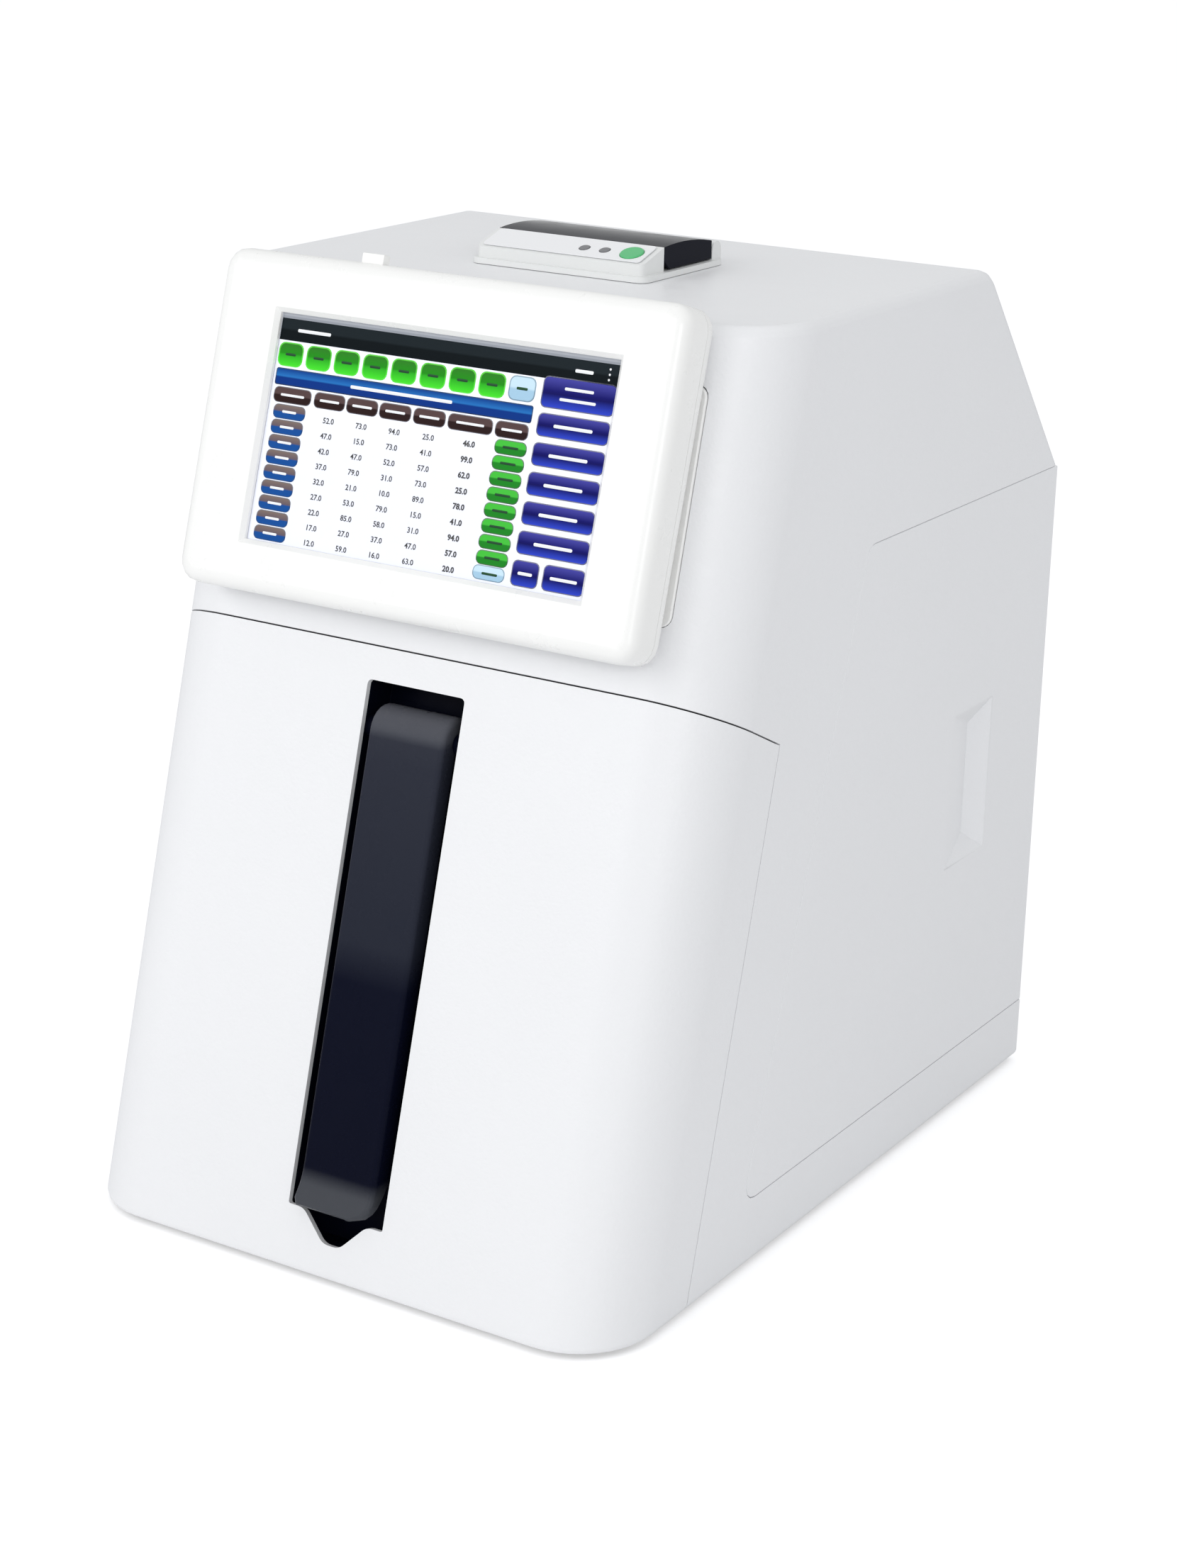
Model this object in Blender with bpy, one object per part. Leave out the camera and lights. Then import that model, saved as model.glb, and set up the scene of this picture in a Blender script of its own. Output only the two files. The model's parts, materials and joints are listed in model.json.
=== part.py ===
"""Bench-top blood gas analyzer: cabinet, drop-down door, sampler flap, touch display and printer.

Metres, +Z up. The cabinet frame has its origin at the middle of the door's front bottom edge:
X to the right, Y towards the rear, Z up. It is carried by an empty that centres the model on
the world origin and lifts it by the height of the feet.
"""
import math

import bmesh
import bpy
from mathutils import Matrix, Vector

# Cabinet
BODY_WIDTH = 0.330
BODY_DEPTH = 0.461
BODY_HEIGHT = 0.4783
FRONT_LEAN = math.radians(14.8)
TOP_DEPTH = 0.360
CHAMFER_HEIGHT = 0.3595
WALL = 0.003
CORNER_RADIUS = 0.042
TOP_EDGE_RADIUS = 0.006
BOTTOM_EDGE_RADIUS = 0.003
FRONT_EDGE_SETBACK = 0.00077
REAR_EDGE_RADIUS = 0.020
FLOOR_GAP = 0.003
SEAM = 0.0008
SEAT = 0.0003
RUNNING = 0.0003

# Front door, as heights on the front and on the side, and how far it wraps back
DOOR_FRONT_HEIGHT = 0.3075
DOOR_SIDE_HEIGHT = 0.2747
DOOR_WRAP = 0.0757
DOOR_RIB_DEPTH = 0.008
DOOR_RIB_WIDTH = 0.002
DOOR_RIB_AT = (0.070, 0.105)
DOOR_RIB_LENGTH = 0.240
HINGE_Y = 0.0095
HINGE_Z = 0.0105
HINGE_PIN_RADIUS = 0.0016
HINGE_EAR_RADIUS = 0.0030
HINGE_LUG_RADIUS = 0.0044
HINGE_LUG_WIDTH = 0.010
HINGE_AT = 0.108
HINGE_EAR_WIDTH = 0.004
HINGE_EAR_LENGTH = 0.040
CATCH_HEIGHT = 0.235
CATCH_SIZE = 0.020
CATCH_REACH = 0.012
CATCH_TAB = 0.0025
STRIKE_THICKNESS = 0.001
MAGNET_DEPTH = 0.014

# Slot in the door, measured up the slope
SLOT_WIDTH = 0.058
SLOT_LOW = 0.033
SLOT_HIGH = 0.301
SLOT_CORNER = 0.0025
NOTCH_LOW = 0.018
NOTCH_TOP_HALF = 0.0195
NOTCH_TIP_HALF = 0.005
NOTCH_RADIUS = 0.008
SLOT_FOOT_CORNER = 0.0012

# Side panel openings, as the cabinet's side shows them
PANEL_FRONT_AT_FLOOR = 0.1181
PANEL_FRONT_SLOPE = 0.3242
PANEL_LOW = 0.0355
PANEL_HIGH = 0.3565
PANEL_CORNER = 0.009
GRIP_LOW = (0.341, 0.1505)
GRIP_HIGH = (0.3935, 0.240)
GRIP_VALLEY_Y = 0.3845
GRIP_VALLEY_Z = (0.160, 0.224)
GRIP_DEPTH = 0.010
GRIP_WALL = 0.0025

# Sampler flap and its well, measured up the slope and outward from the front
WELL_HALF_WIDTH = 0.031
WELL_WALL = 0.002
WELL_DEPTH = 0.027
WELL_LOW = 0.0145
WELL_HIGH = 0.308
WELL_FLANGE = 0.008
WELL_RIM_BELOW = 0.0025
WELL_FLANGE_THICKNESS = 0.002
FLAP_HALF_WIDTH = 0.0225
FLAP_PROUD = 0.003
FLAP_LIP_PROUD = 0.0085
FLAP_DEPTH = 0.012
FLAP_LIP_DEPTH = 0.003
FLAP_FLARE_STEPS = 8
FLAP_CROWN_STEPS = 10
FLAP_CROWN_SWEEP = 140
FLAP_WALL = 0.0022
FLAP_EDGE_RADIUS = 0.0028
FLAP_LIP_CORNERS = (0.0025, 0.0100)
FLAP_LOW = 0.0365
FLAP_FLARE_START = 0.055
PIVOT_S = 0.2775
PIVOT_DEPTH = 0.010
PIVOT_PIN_RADIUS = 0.002
PIVOT_BOSS_RADIUS = 0.0055
PROBE_RADIUS = 0.0008
PROBE_DEPTH = 0.007
PROBE_LOW = 0.066
PROBE_HOLDER_LOW = 0.160
PROBE_HOLDER_LENGTH = 0.036
PROBE_HOLDER_WIDTH = 0.016

# Display, in its own leaning plane
DISPLAY_LEAN = math.radians(16.1)
DISPLAY_CENTRE_Y = 0.0786
DISPLAY_CENTRE_Z = 0.4114
BEZEL_WIDTH = 0.269
BEZEL_HEIGHT = 0.1685
BEZEL_DEPTH = 0.0195
BEZEL_CORNER = 0.011
BEZEL_EDGE_RADIUS = 0.0075
BEZEL_WALL = 0.003
SCREEN_WIDTH = 0.197
SCREEN_HEIGHT = 0.113
SCREEN_SHIFT_X = 0.003
SCREEN_SHIFT_S = -0.0017
SCREEN_BEVEL = 0.0022
GLASS_THICKNESS = 0.0011
GLASS_MARGIN = 0.004
LCD_THICKNESS = 0.006
LCD_MARGIN = 0.006
CASE_DEPTH = 0.0055
CASE_WALL = 0.0025
CASE_BOSS_WIDTH = 0.236
CASE_BOSS_HEIGHT = 0.092
CASE_BOSS_DEPTH = 0.018
BRACKET_THICKNESS = 0.0015
BRACKET_MARGIN = 0.008
BRACKET_HALF_WIDTH = 0.124
CUT_SHIFT = -0.0156
DISPLAY_CUT_HALF_WIDTH = 0.1347
DISPLAY_CUT_LOW = 0.3525
DISPLAY_CUT_HIGH = 0.4675
DISPLAY_CUT_CORNER = 0.006
KEY_WIDTH = 0.013
KEY_THICKNESS = 0.0055
KEY_PROUD = 0.0048
KEY_X = -0.049
KEY_TRAVEL = 0.0015
KEY_BACK = 0.0115

# Printer
PRINTER_X = -0.004
PRINTER_Y = 0.243
FLANGE_WIDTH = 0.105
FLANGE_LENGTH = 0.081
FLANGE_THICKNESS = 0.0032
FLANGE_CORNER = 0.006
BUCKET_WIDTH = 0.094
BUCKET_LENGTH = 0.070
BUCKET_DEPTH = 0.048
BUCKET_WALL = 0.002
FASCIA_INSET = 0.0026
FASCIA_FRONT_HEIGHT = 0.0056
FASCIA_LENGTH = 0.0205
FASCIA_REAR_HEIGHT = 0.0122
LABEL_THICKNESS = 0.0006
LABEL_INSET = 0.003
LED_RADIUS = 0.0028
LED_X = (0.006, 0.018)
FEED_X = 0.034
FEED_RADIUS = 0.0062
FEED_TRAVEL = 0.0008
COVER_WALL = 0.0018
COVER_RISE = 0.0022
COVER_SIDE_CORNER = 0.005
CHEEK_RADIUS = 0.0045
CHEEK_WIDTH = 0.0055
COVER_HINGE_HEIGHT = 0.0048
COVER_PIN_RADIUS = 0.0012
PAPER_WIDTH = 0.057
PAPER_RADIUS = 0.019
PAPER_CORE_RADIUS = 0.0065
PLATEN_RADIUS = 0.0045
PLATEN_SHAFT_RADIUS = 0.0018
HEAD_THICKNESS = 0.004

# Inside
BASE_THICKNESS = 0.0015
BASE_HEIGHT = 0.004
BASE_FRONT = 0.026
BASE_CORNER = 0.032
BASE_FLANGE = 0.022
FOOT_RADIUS = 0.009
FOOT_SPREAD_X = 0.130
FOOT_Y = (0.060, 0.425)
BULKHEAD_Y = 0.200
BULKHEAD_THICKNESS = 0.0015
BULKHEAD_HEIGHT = 0.330
BULKHEAD_HALF_WIDTH = 0.158
BULKHEAD_FLANGE = 0.016
PACK_WIDTH = 0.106
PACK_DEPTH = 0.112
PACK_HEIGHT = 0.195
PACK_X = -0.099
PACK_Y = 0.132
PUMP_X = 0.100
PUMP_Z = 0.105
PUMP_RADIUS = 0.034
PUMP_LENGTH = 0.024
ROTOR_RADIUS = 0.021
ROLLER_RADIUS = 0.005
ROLLERS = 4
TUBE_RADIUS = 0.0016
MOTOR_RADIUS = 0.018
MOTOR_LENGTH = 0.038
MOTOR_SHAFT_RADIUS = 0.0025
SENSOR_X = 0.100
SENSOR_Z = 0.225
SENSOR_WIDTH = 0.110
SENSOR_HEIGHT = 0.050
SENSOR_DEPTH = 0.040
SENSOR_RADIUS = 0.008
SENSOR_COUNT = 5
SENSOR_PROUD = 0.006
VALVE_X = 0.100
VALVE_Z = 0.036
SUPPLY_WIDTH = 0.098
SUPPLY_LENGTH = 0.160
SUPPLY_HEIGHT = 0.038
SUPPLY_X = -0.095
SUPPLY_Y = 0.340
BOARD_WIDTH = 0.150
BOARD_HEIGHT = 0.110
BOARD_THICKNESS = 0.0016
BOARD_X = -0.060
BOARD_Z = 0.220
STANDOFF = 0.008
REAR_PANEL_INSET = 0.008
REAR_THICKNESS = 0.0015
REAR_HALF_WIDTH = 0.1575
REAR_FLANGE = 0.012
FAN_SIZE = 0.060
FAN_DEPTH = 0.015
FAN_X = 0.085
FAN_Z = 0.255
FAN_BLADES = 7
FAN_HUB_RADIUS = 0.013
INLET_X = -0.105
INLET_Z = 0.080
INLET_WIDTH = 0.030
INLET_HEIGHT = 0.048
INLET_DEPTH = 0.026
ROCKER_WIDTH = 0.012
ROCKER_HEIGHT = 0.016
ROCKER_TILT = math.radians(8.0)
PORTS_X = 0.080
PORTS_Z = 0.1135
PORTS_WIDTH = 0.090
PORTS_HEIGHT = 0.020
PORTS_DEPTH = 0.014

HALF_WIDTH = BODY_WIDTH / 2
LEAN = math.tan(FRONT_LEAN)
FAR = 0.05


# Scene bookkeeping

def clear_scene():
    for obj in list(bpy.data.objects):
        bpy.data.objects.remove(obj, do_unlink=True)


def new_collection(name):
    collection = bpy.data.collections.new(name)
    bpy.context.scene.collection.children.link(collection)
    return collection


def frame_empty(name, matrix, parent=None):
    empty = bpy.data.objects.new(name, None)
    PARTS.objects.link(empty)
    empty.empty_display_size = 0.02
    empty.parent = parent
    empty.matrix_local = matrix
    return empty


def material(name, colour, roughness, metallic=0.0, alpha=1.0):
    mat = bpy.data.materials.new(name)
    mat.use_nodes = True
    shader = mat.node_tree.nodes["Principled BSDF"]
    shader.inputs["Base Color"].default_value = (*colour, 1.0)
    shader.inputs["Roughness"].default_value = roughness
    shader.inputs["Metallic"].default_value = metallic
    shader.inputs["Alpha"].default_value = alpha
    mat.diffuse_color = (*colour, alpha)
    return mat


def add_object(name, mesh, mat=None, parent=None, matrix=None):
    obj = bpy.data.objects.new(name, mesh)
    PARTS.objects.link(obj)
    obj.parent = parent or CABINET
    obj.matrix_local = matrix or Matrix()
    if mat:
        mesh.materials.clear()
        mesh.materials.append(mat)
    return obj


def as_tool(obj):
    """Hide a cutter or a joined lump from the render and keep it out of the part's nodes."""
    PARTS.objects.unlink(obj)
    TOOLS.objects.link(obj)
    obj.hide_render = True
    obj.display_type = "WIRE"
    return obj


def boolean(target, tool, operation="DIFFERENCE"):
    as_tool(tool)
    modifier = target.modifiers.new(operation.lower(), "BOOLEAN")
    modifier.operation = operation
    modifier.object = tool
    return target


def smooth(obj, angle=math.radians(35)):
    obj.data.shade_smooth()
    obj.data.set_sharp_from_angle(angle=angle)
    return obj


# Outlines

def arc(centre, radius, start, end, steps):
    """Points on a circle from angle start to angle end, in degrees, both included."""
    points = []
    for i in range(steps + 1):
        a = math.radians(start + (end - start) * i / steps)
        points.append((centre[0] + radius * math.cos(a), centre[1] + radius * math.sin(a)))
    return points


def line_meet(p, u, q, v):
    """Where the line through p along u meets the line through q along v."""
    cross = u[0] * v[1] - u[1] * v[0]
    t = ((q[0] - p[0]) * v[1] - (q[1] - p[1]) * v[0]) / cross
    return (p[0] + u[0] * t, p[1] + u[1] * t)


def inset_polygon(points, distances):
    """Move each edge of a polygon inward by its own distance; edge i starts at point i."""
    count = len(points)
    area = sum(points[i][0] * points[(i + 1) % count][1] - points[(i + 1) % count][0] * points[i][1]
               for i in range(count))
    turn = 1.0 if area > 0 else -1.0
    lines = []
    for i in range(count):
        a = Vector(points[i])
        b = Vector(points[(i + 1) % count])
        along = (b - a).normalized()
        inward = Vector((-along.y, along.x)) * turn
        lines.append((a + inward * distances[i], along))
    return [line_meet(*lines[i - 1], *lines[i]) for i in range(count)]


def round_polygon(points, radii, steps=4):
    """Replace each corner that has a radius by an arc tangent to its two edges."""
    result = []
    count = len(points)
    for i in range(count):
        corner = Vector(points[i])
        before = (Vector(points[i - 1]) - corner).normalized()
        after = (Vector(points[(i + 1) % count]) - corner).normalized()
        if not radii[i]:
            result.append(tuple(corner))
            continue
        half = before.angle(after) / 2
        centre = corner + (before + after).normalized() * (radii[i] / math.sin(half))
        first = corner + before * (radii[i] / math.tan(half)) - centre
        last = corner + after * (radii[i] / math.tan(half)) - centre
        sweep = first.angle_signed(last)
        for step in range(steps + 1):
            turn = Matrix.Rotation(-sweep * step / steps, 2)
            result.append(tuple(centre + turn @ first))
    return result


def rectangle(low, high, radius=0.0, steps=4):
    corners = [(low[0], low[1]), (high[0], low[1]), (high[0], high[1]), (low[0], high[1])]
    return round_polygon(corners, [radius] * 4, steps)


def centred_rectangle(centre, width, height, radius=0.0, steps=4):
    low = (centre[0] - width / 2, centre[1] - height / 2)
    high = (centre[0] + width / 2, centre[1] + height / 2)
    return rectangle(low, high, radius, steps)


# Solids

PLANES = {
    "XY": Matrix.Identity(3),
    "XZ": Matrix(((1, 0, 0), (0, 0, -1), (0, 1, 0))),
    "YZ": Matrix(((0, 0, 1), (1, 0, 0), (0, 1, 0))),
}
PLANE_NORMAL = {"XY": 2, "XZ": 1, "YZ": 0}


def prism(name, loops, plane, low, high, mat=None, parent=None):
    """Extrude flat outlines, holes after the outer loop, between two levels across their plane."""
    curve = bpy.data.curves.new(name + "_outline", "CURVE")
    curve.dimensions = "2D"
    curve.fill_mode = "BOTH"
    curve.extrude = (high - low) / 2
    for loop in loops:
        spline = curve.splines.new("POLY")
        spline.points.add(len(loop) - 1)
        for point, (a, b) in zip(spline.points, loop):
            point.co = (a, b, 0.0, 1.0)
        spline.use_cyclic_u = True
    outline = bpy.data.objects.new(name + "_outline", curve)
    PARTS.objects.link(outline)
    mesh = bpy.data.meshes.new_from_object(outline.evaluated_get(bpy.context.evaluated_depsgraph_get()))
    bpy.data.objects.remove(outline, do_unlink=True)
    bm = bmesh.new()
    bm.from_mesh(mesh)
    bmesh.ops.remove_doubles(bm, verts=bm.verts, dist=1e-6)
    bmesh.ops.recalc_face_normals(bm, faces=bm.faces)
    if len(loops) == 1:
        bmesh.ops.dissolve_limit(bm, angle_limit=math.radians(0.05), verts=bm.verts, edges=bm.edges)
    turn = PLANES[plane].to_4x4()
    shift = Vector((0, 0, 0))
    shift[PLANE_NORMAL[plane]] = (low + high) / 2
    bmesh.ops.transform(bm, matrix=Matrix.Translation(shift) @ turn, verts=bm.verts)
    bm.to_mesh(mesh)
    bm.free()
    return add_object(name, mesh, mat, parent)


def mesh_from(bm, name):
    mesh = bpy.data.meshes.new(name)
    bmesh.ops.recalc_face_normals(bm, faces=bm.faces)
    bm.to_mesh(mesh)
    bm.free()
    return mesh


def block(name, low, high, mat=None, parent=None, bevel=0.0, steps=1):
    """A box between two corners, its edges rounded by bevel."""
    bm = bmesh.new()
    bmesh.ops.create_cube(bm, size=1.0)
    low = Vector(low)
    high = Vector(high)
    size = high - low
    bmesh.ops.scale(bm, vec=size, verts=bm.verts)
    bmesh.ops.translate(bm, vec=(low + high) / 2, verts=bm.verts)
    if bevel:
        bmesh.ops.bevel(bm, geom=bm.edges, offset=bevel, segments=steps, profile=0.5, affect="EDGES")
    return add_object(name, mesh_from(bm, name), mat, parent)


def rod(name, radius, start, end, sides=20, mat=None, parent=None, radius_end=None):
    """A cylinder or cone between two points."""
    start = Vector(start)
    end = Vector(end)
    bm = bmesh.new()
    tip = radius if radius_end is None else radius_end
    bmesh.ops.create_cone(bm, cap_ends=True, segments=sides, radius1=radius, radius2=tip,
                          depth=(end - start).length)
    turn = Vector((0, 0, 1)).rotation_difference(end - start).to_matrix().to_4x4()
    bmesh.ops.transform(bm, matrix=Matrix.Translation((start + end) / 2) @ turn, verts=bm.verts)
    return smooth(add_object(name, mesh_from(bm, name), mat, parent))


def hull(name, points, mat=None, parent=None):
    bm = bmesh.new()
    for point in points:
        bm.verts.new(point)
    bmesh.ops.convex_hull(bm, input=bm.verts)
    return add_object(name, mesh_from(bm, name), mat, parent)


def tube(name, points, radius, mat, parent=None, sides=2):
    """A round tube along a smooth route through the given points."""
    curve = bpy.data.curves.new(name, "CURVE")
    curve.dimensions = "3D"
    curve.bevel_depth = radius
    curve.bevel_resolution = sides
    curve.use_fill_caps = True
    spline = curve.splines.new("POLY")
    route = smooth_route([Vector(p) for p in points])
    spline.points.add(len(route) - 1)
    for point, place in zip(spline.points, route):
        point.co = (*place, 1.0)
    return add_object(name, curve, mat, parent)


def smooth_route(points, steps=5):
    """Points along a Catmull-Rom curve through the given ones."""
    padded = [points[0] * 2 - points[1]] + points + [points[-1] * 2 - points[-2]]
    route = []
    for i in range(1, len(padded) - 2):
        a, b, c, d = padded[i - 1:i + 3]
        for step in range(steps):
            t = step / steps
            route.append(0.5 * (2 * b + (c - a) * t + (2 * a - 5 * b + 4 * c - d) * t ** 2
                                + (3 * b - a - 3 * c + d) * t ** 3))
    return route + [points[-1]]


# Cabinet form

CABINET_PROFILE = [
    (0.0, 0.0),
    (BODY_HEIGHT * LEAN, BODY_HEIGHT),
    (TOP_DEPTH, BODY_HEIGHT),
    (BODY_DEPTH, CHAMFER_HEIGHT),
    (BODY_DEPTH, 0.0),
]


def edge_angle(edge):
    return edge.calc_face_angle(0.0)


def cabinet_solid(name, inset, floor, corner_steps, edge_steps):
    """The cabinet's outer form, or its cavity when inset by the wall and run through the floor."""
    profile = inset_polygon(CABINET_PROFILE, [inset, inset, inset, inset, floor])
    profile = round_polygon(profile, [0, 0, REAR_EDGE_RADIUS - inset, 0, 0], steps=5)
    half = HALF_WIDTH - inset
    bm = bmesh.new()
    face = bm.faces.new([bm.verts.new((-half, y, z)) for y, z in profile])
    grown = bmesh.ops.extrude_face_region(bm, geom=[face])
    verts = [v for v in grown["geom"] if isinstance(v, bmesh.types.BMVert)]
    bmesh.ops.translate(bm, vec=(2 * half, 0, 0), verts=verts)
    bmesh.ops.recalc_face_normals(bm, faces=bm.faces)
    front = [e for e in bm.edges
             if abs(e.verts[0].co.x - e.verts[1].co.x) < 1e-6
             and all(abs(v.co.y - v.co.z * LEAN) < inset * 1.2 + 1e-6 for v in e.verts)]
    bmesh.ops.bevel(bm, geom=front, offset=CORNER_RADIUS - inset, segments=corner_steps,
                    profile=0.5, affect="EDGES")
    top = [e for e in bm.edges
           if edge_angle(e) > math.radians(45)
           and all(v.co.z > CHAMFER_HEIGHT - inset * 2 - 1e-4 for v in e.verts)]
    bmesh.ops.bevel(bm, geom=top, offset=TOP_EDGE_RADIUS - inset, segments=edge_steps,
                    profile=0.5, affect="EDGES")
    if not inset:
        bottom = [e for e in bm.edges
                  if edge_angle(e) > math.radians(45)
                  and all(v.co.z < 1e-5 and v.co.y < BODY_DEPTH - 1e-5 for v in e.verts)]
        bottom += [e for e in bm.edges
                   if all(v.co.z < 1e-5 for v in e.verts) and e not in bottom
                   and abs(e.verts[0].co.x - e.verts[1].co.x) < 1e-6]
        bmesh.ops.bevel(bm, geom=bottom, offset=BOTTOM_EDGE_RADIUS, segments=2,
                        profile=0.5, affect="EDGES")
    return add_object(name, mesh_from(bm, name))


def door_region(gap):
    """Side outline of the space in front of the door's side seam and under its top seam."""
    front = (DOOR_FRONT_HEIGHT * LEAN, DOOR_FRONT_HEIGHT)
    corner = (DOOR_WRAP + DOOR_SIDE_HEIGHT * LEAN, DOOR_SIDE_HEIGHT)
    slope = (front[1] - corner[1]) / (front[0] - corner[0])
    points = [
        (-FAR, -FAR),
        (DOOR_WRAP - FAR * LEAN, -FAR),
        corner,
        (-FAR, front[1] - slope * (front[0] + FAR)),
    ]
    return inset_polygon(points, [0, gap, gap, 0])


def panel_outline(gap):
    """Side panel opening, or the panel itself when shrunk by a positive gap."""
    points = [
        (PANEL_FRONT_AT_FLOOR + PANEL_LOW * PANEL_FRONT_SLOPE, PANEL_LOW),
        (BODY_DEPTH, PANEL_LOW),
        (BODY_DEPTH, PANEL_HIGH),
        (PANEL_FRONT_AT_FLOOR + PANEL_HIGH * PANEL_FRONT_SLOPE, PANEL_HIGH),
    ]
    rear = 0.0 if gap > 0 else -FAR
    points = inset_polygon(points, [gap, rear, gap, gap])
    return round_polygon(points, [PANEL_CORNER - gap, 0, 0, PANEL_CORNER - gap])


def make_shell():
    shell = cabinet_solid("main_shell", 0.0, 0.0, 10, 3)
    shell.data.materials.append(MATS["shell_white"])
    boolean(shell, cabinet_solid("shell_cavity", WALL, -FAR, 6, 2))
    boolean(shell, prism("door_opening", [door_region(-SEAM / 2)], "YZ", -HALF_WIDTH - FAR, HALF_WIDTH + FAR))
    boolean(shell, prism("side_opening", [panel_outline(-SEAM / 4)], "YZ", -HALF_WIDTH - FAR,
                         HALF_WIDTH + FAR))
    cut = rectangle((-DISPLAY_CUT_HALF_WIDTH, DISPLAY_CUT_LOW), (DISPLAY_CUT_HALF_WIDTH, DISPLAY_CUT_HIGH),
                    DISPLAY_CUT_CORNER)
    boolean(shell, prism("display_opening", [cut], "XZ", -FAR, CORNER_RADIUS, parent=SLOPE))
    opening = centred_rectangle((PRINTER_X, PRINTER_Y), BUCKET_WIDTH + 0.002, BUCKET_LENGTH + 0.002, 0.002, 2)
    boolean(shell, prism("printer_opening", [opening], "XY", BODY_HEIGHT - FAR, BODY_HEIGHT + FAR))
    return smooth(shell)


def slot_outline():
    """The door's slot, opening downward into a bell-shaped finger notch with a round tip."""
    half = SLOT_WIDTH / 2
    points = [(-half, SLOT_HIGH), (-half, SLOT_LOW), (-NOTCH_TOP_HALF, SLOT_LOW), (-NOTCH_TIP_HALF, NOTCH_LOW),
              (NOTCH_TIP_HALF, NOTCH_LOW), (NOTCH_TOP_HALF, SLOT_LOW), (half, SLOT_LOW), (half, SLOT_HIGH)]
    radii = [SLOT_CORNER, SLOT_FOOT_CORNER, NOTCH_RADIUS, NOTCH_RADIUS, NOTCH_RADIUS, NOTCH_RADIUS,
             SLOT_FOOT_CORNER, SLOT_CORNER]
    return round_polygon(points, radii, 5)


def make_door():
    door = cabinet_solid("front_door", 0.0, 0.0, 10, 3)
    door.data.materials.append(MATS["shell_white"])
    boolean(door, cabinet_solid("door_cavity", WALL, -FAR, 6, 2))
    boolean(door, prism("door_limit", [door_region(SEAM / 2)], "YZ", -HALF_WIDTH - FAR, HALF_WIDTH + FAR),
            "INTERSECT")
    boolean(door, prism("slot_cutter", [slot_outline()], "XZ", -FAR / 4, FAR / 4, parent=SLOPE))
    middle = (SLOT_LOW + SLOT_HIGH) / 2
    for side in (-1, 1):
        for at in DOOR_RIB_AT:
            x = side * at
            rib = block("door_rib", (x - DOOR_RIB_WIDTH / 2, WALL / 2, middle - DOOR_RIB_LENGTH / 2),
                        (x + DOOR_RIB_WIDTH / 2, WALL + DOOR_RIB_DEPTH, middle + DOOR_RIB_LENGTH / 2),
                        parent=SLOPE)
            boolean(door, rib, "UNION")
        lug_low = side * HINGE_AT - HINGE_LUG_WIDTH / 2
        lug = prism("hinge_lug", [lug_outline()], "YZ", lug_low, lug_low + HINGE_LUG_WIDTH)
        boolean(door, lug, "UNION")
        boolean(door, catch_tab(side), "UNION")
    bore = rod("hinge_bore", HINGE_PIN_RADIUS + RUNNING, (-HALF_WIDTH * 0.8, HINGE_Y, HINGE_Z),
               (HALF_WIDTH * 0.8, HINGE_Y, HINGE_Z), 16)
    boolean(door, bore)
    return smooth(door)


def lug_outline():
    """Hinge lug round the pin, running into the leaning front wall."""
    inner = (WALL * 0.6) / math.cos(FRONT_LEAN)
    low = HINGE_Z - HINGE_LUG_RADIUS
    high = HINGE_Z + HINGE_LUG_RADIUS
    nose = arc((HINGE_Y, HINGE_Z), HINGE_LUG_RADIUS, -90, 90, 8)
    return [(low * LEAN + inner, low)] + nose + [(high * LEAN + inner, high)]


def seam_point(height, behind):
    """Depth of a point behind the door's side seam at the given height."""
    return DOOR_WRAP + height * LEAN + behind


def catch_outline(front, back):
    """Side outline of a strip that follows the side seam between two distances behind it."""
    low = CATCH_HEIGHT
    high = CATCH_HEIGHT + CATCH_SIZE
    return [
        (seam_point(low, front), low),
        (seam_point(low, back), low),
        (seam_point(high, back), high),
        (seam_point(high, front), high),
    ]


def catch_span(side, inner, outer):
    ends = sorted((side * inner, side * outer))
    return ends[0], ends[1]


def catch_tab(side):
    rear = -SEAM / 2 - STRIKE_THICKNESS - SEAT
    low, high = catch_span(side, HALF_WIDTH - WALL - CATCH_REACH, HALF_WIDTH - WALL / 2)
    return prism("catch_tab", [catch_outline(rear - CATCH_TAB, rear)], "YZ", low, high)


def make_catches():
    for side, word in ((-1, "left"), (1, "right")):
        low, high = catch_span(side, HALF_WIDTH - WALL - CATCH_REACH, HALF_WIDTH - WALL - SEAT)
        strike = [catch_outline(-SEAM / 2 - STRIKE_THICKNESS, -SEAM / 2)]
        prism("door_strike_" + word, strike, "YZ", low, high, MATS["steel"])
        magnet = [catch_outline(SEAM / 2, SEAM / 2 + MAGNET_DEPTH)]
        prism("door_magnet_" + word, magnet, "YZ", low, high, MATS["magnet_black"])


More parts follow.
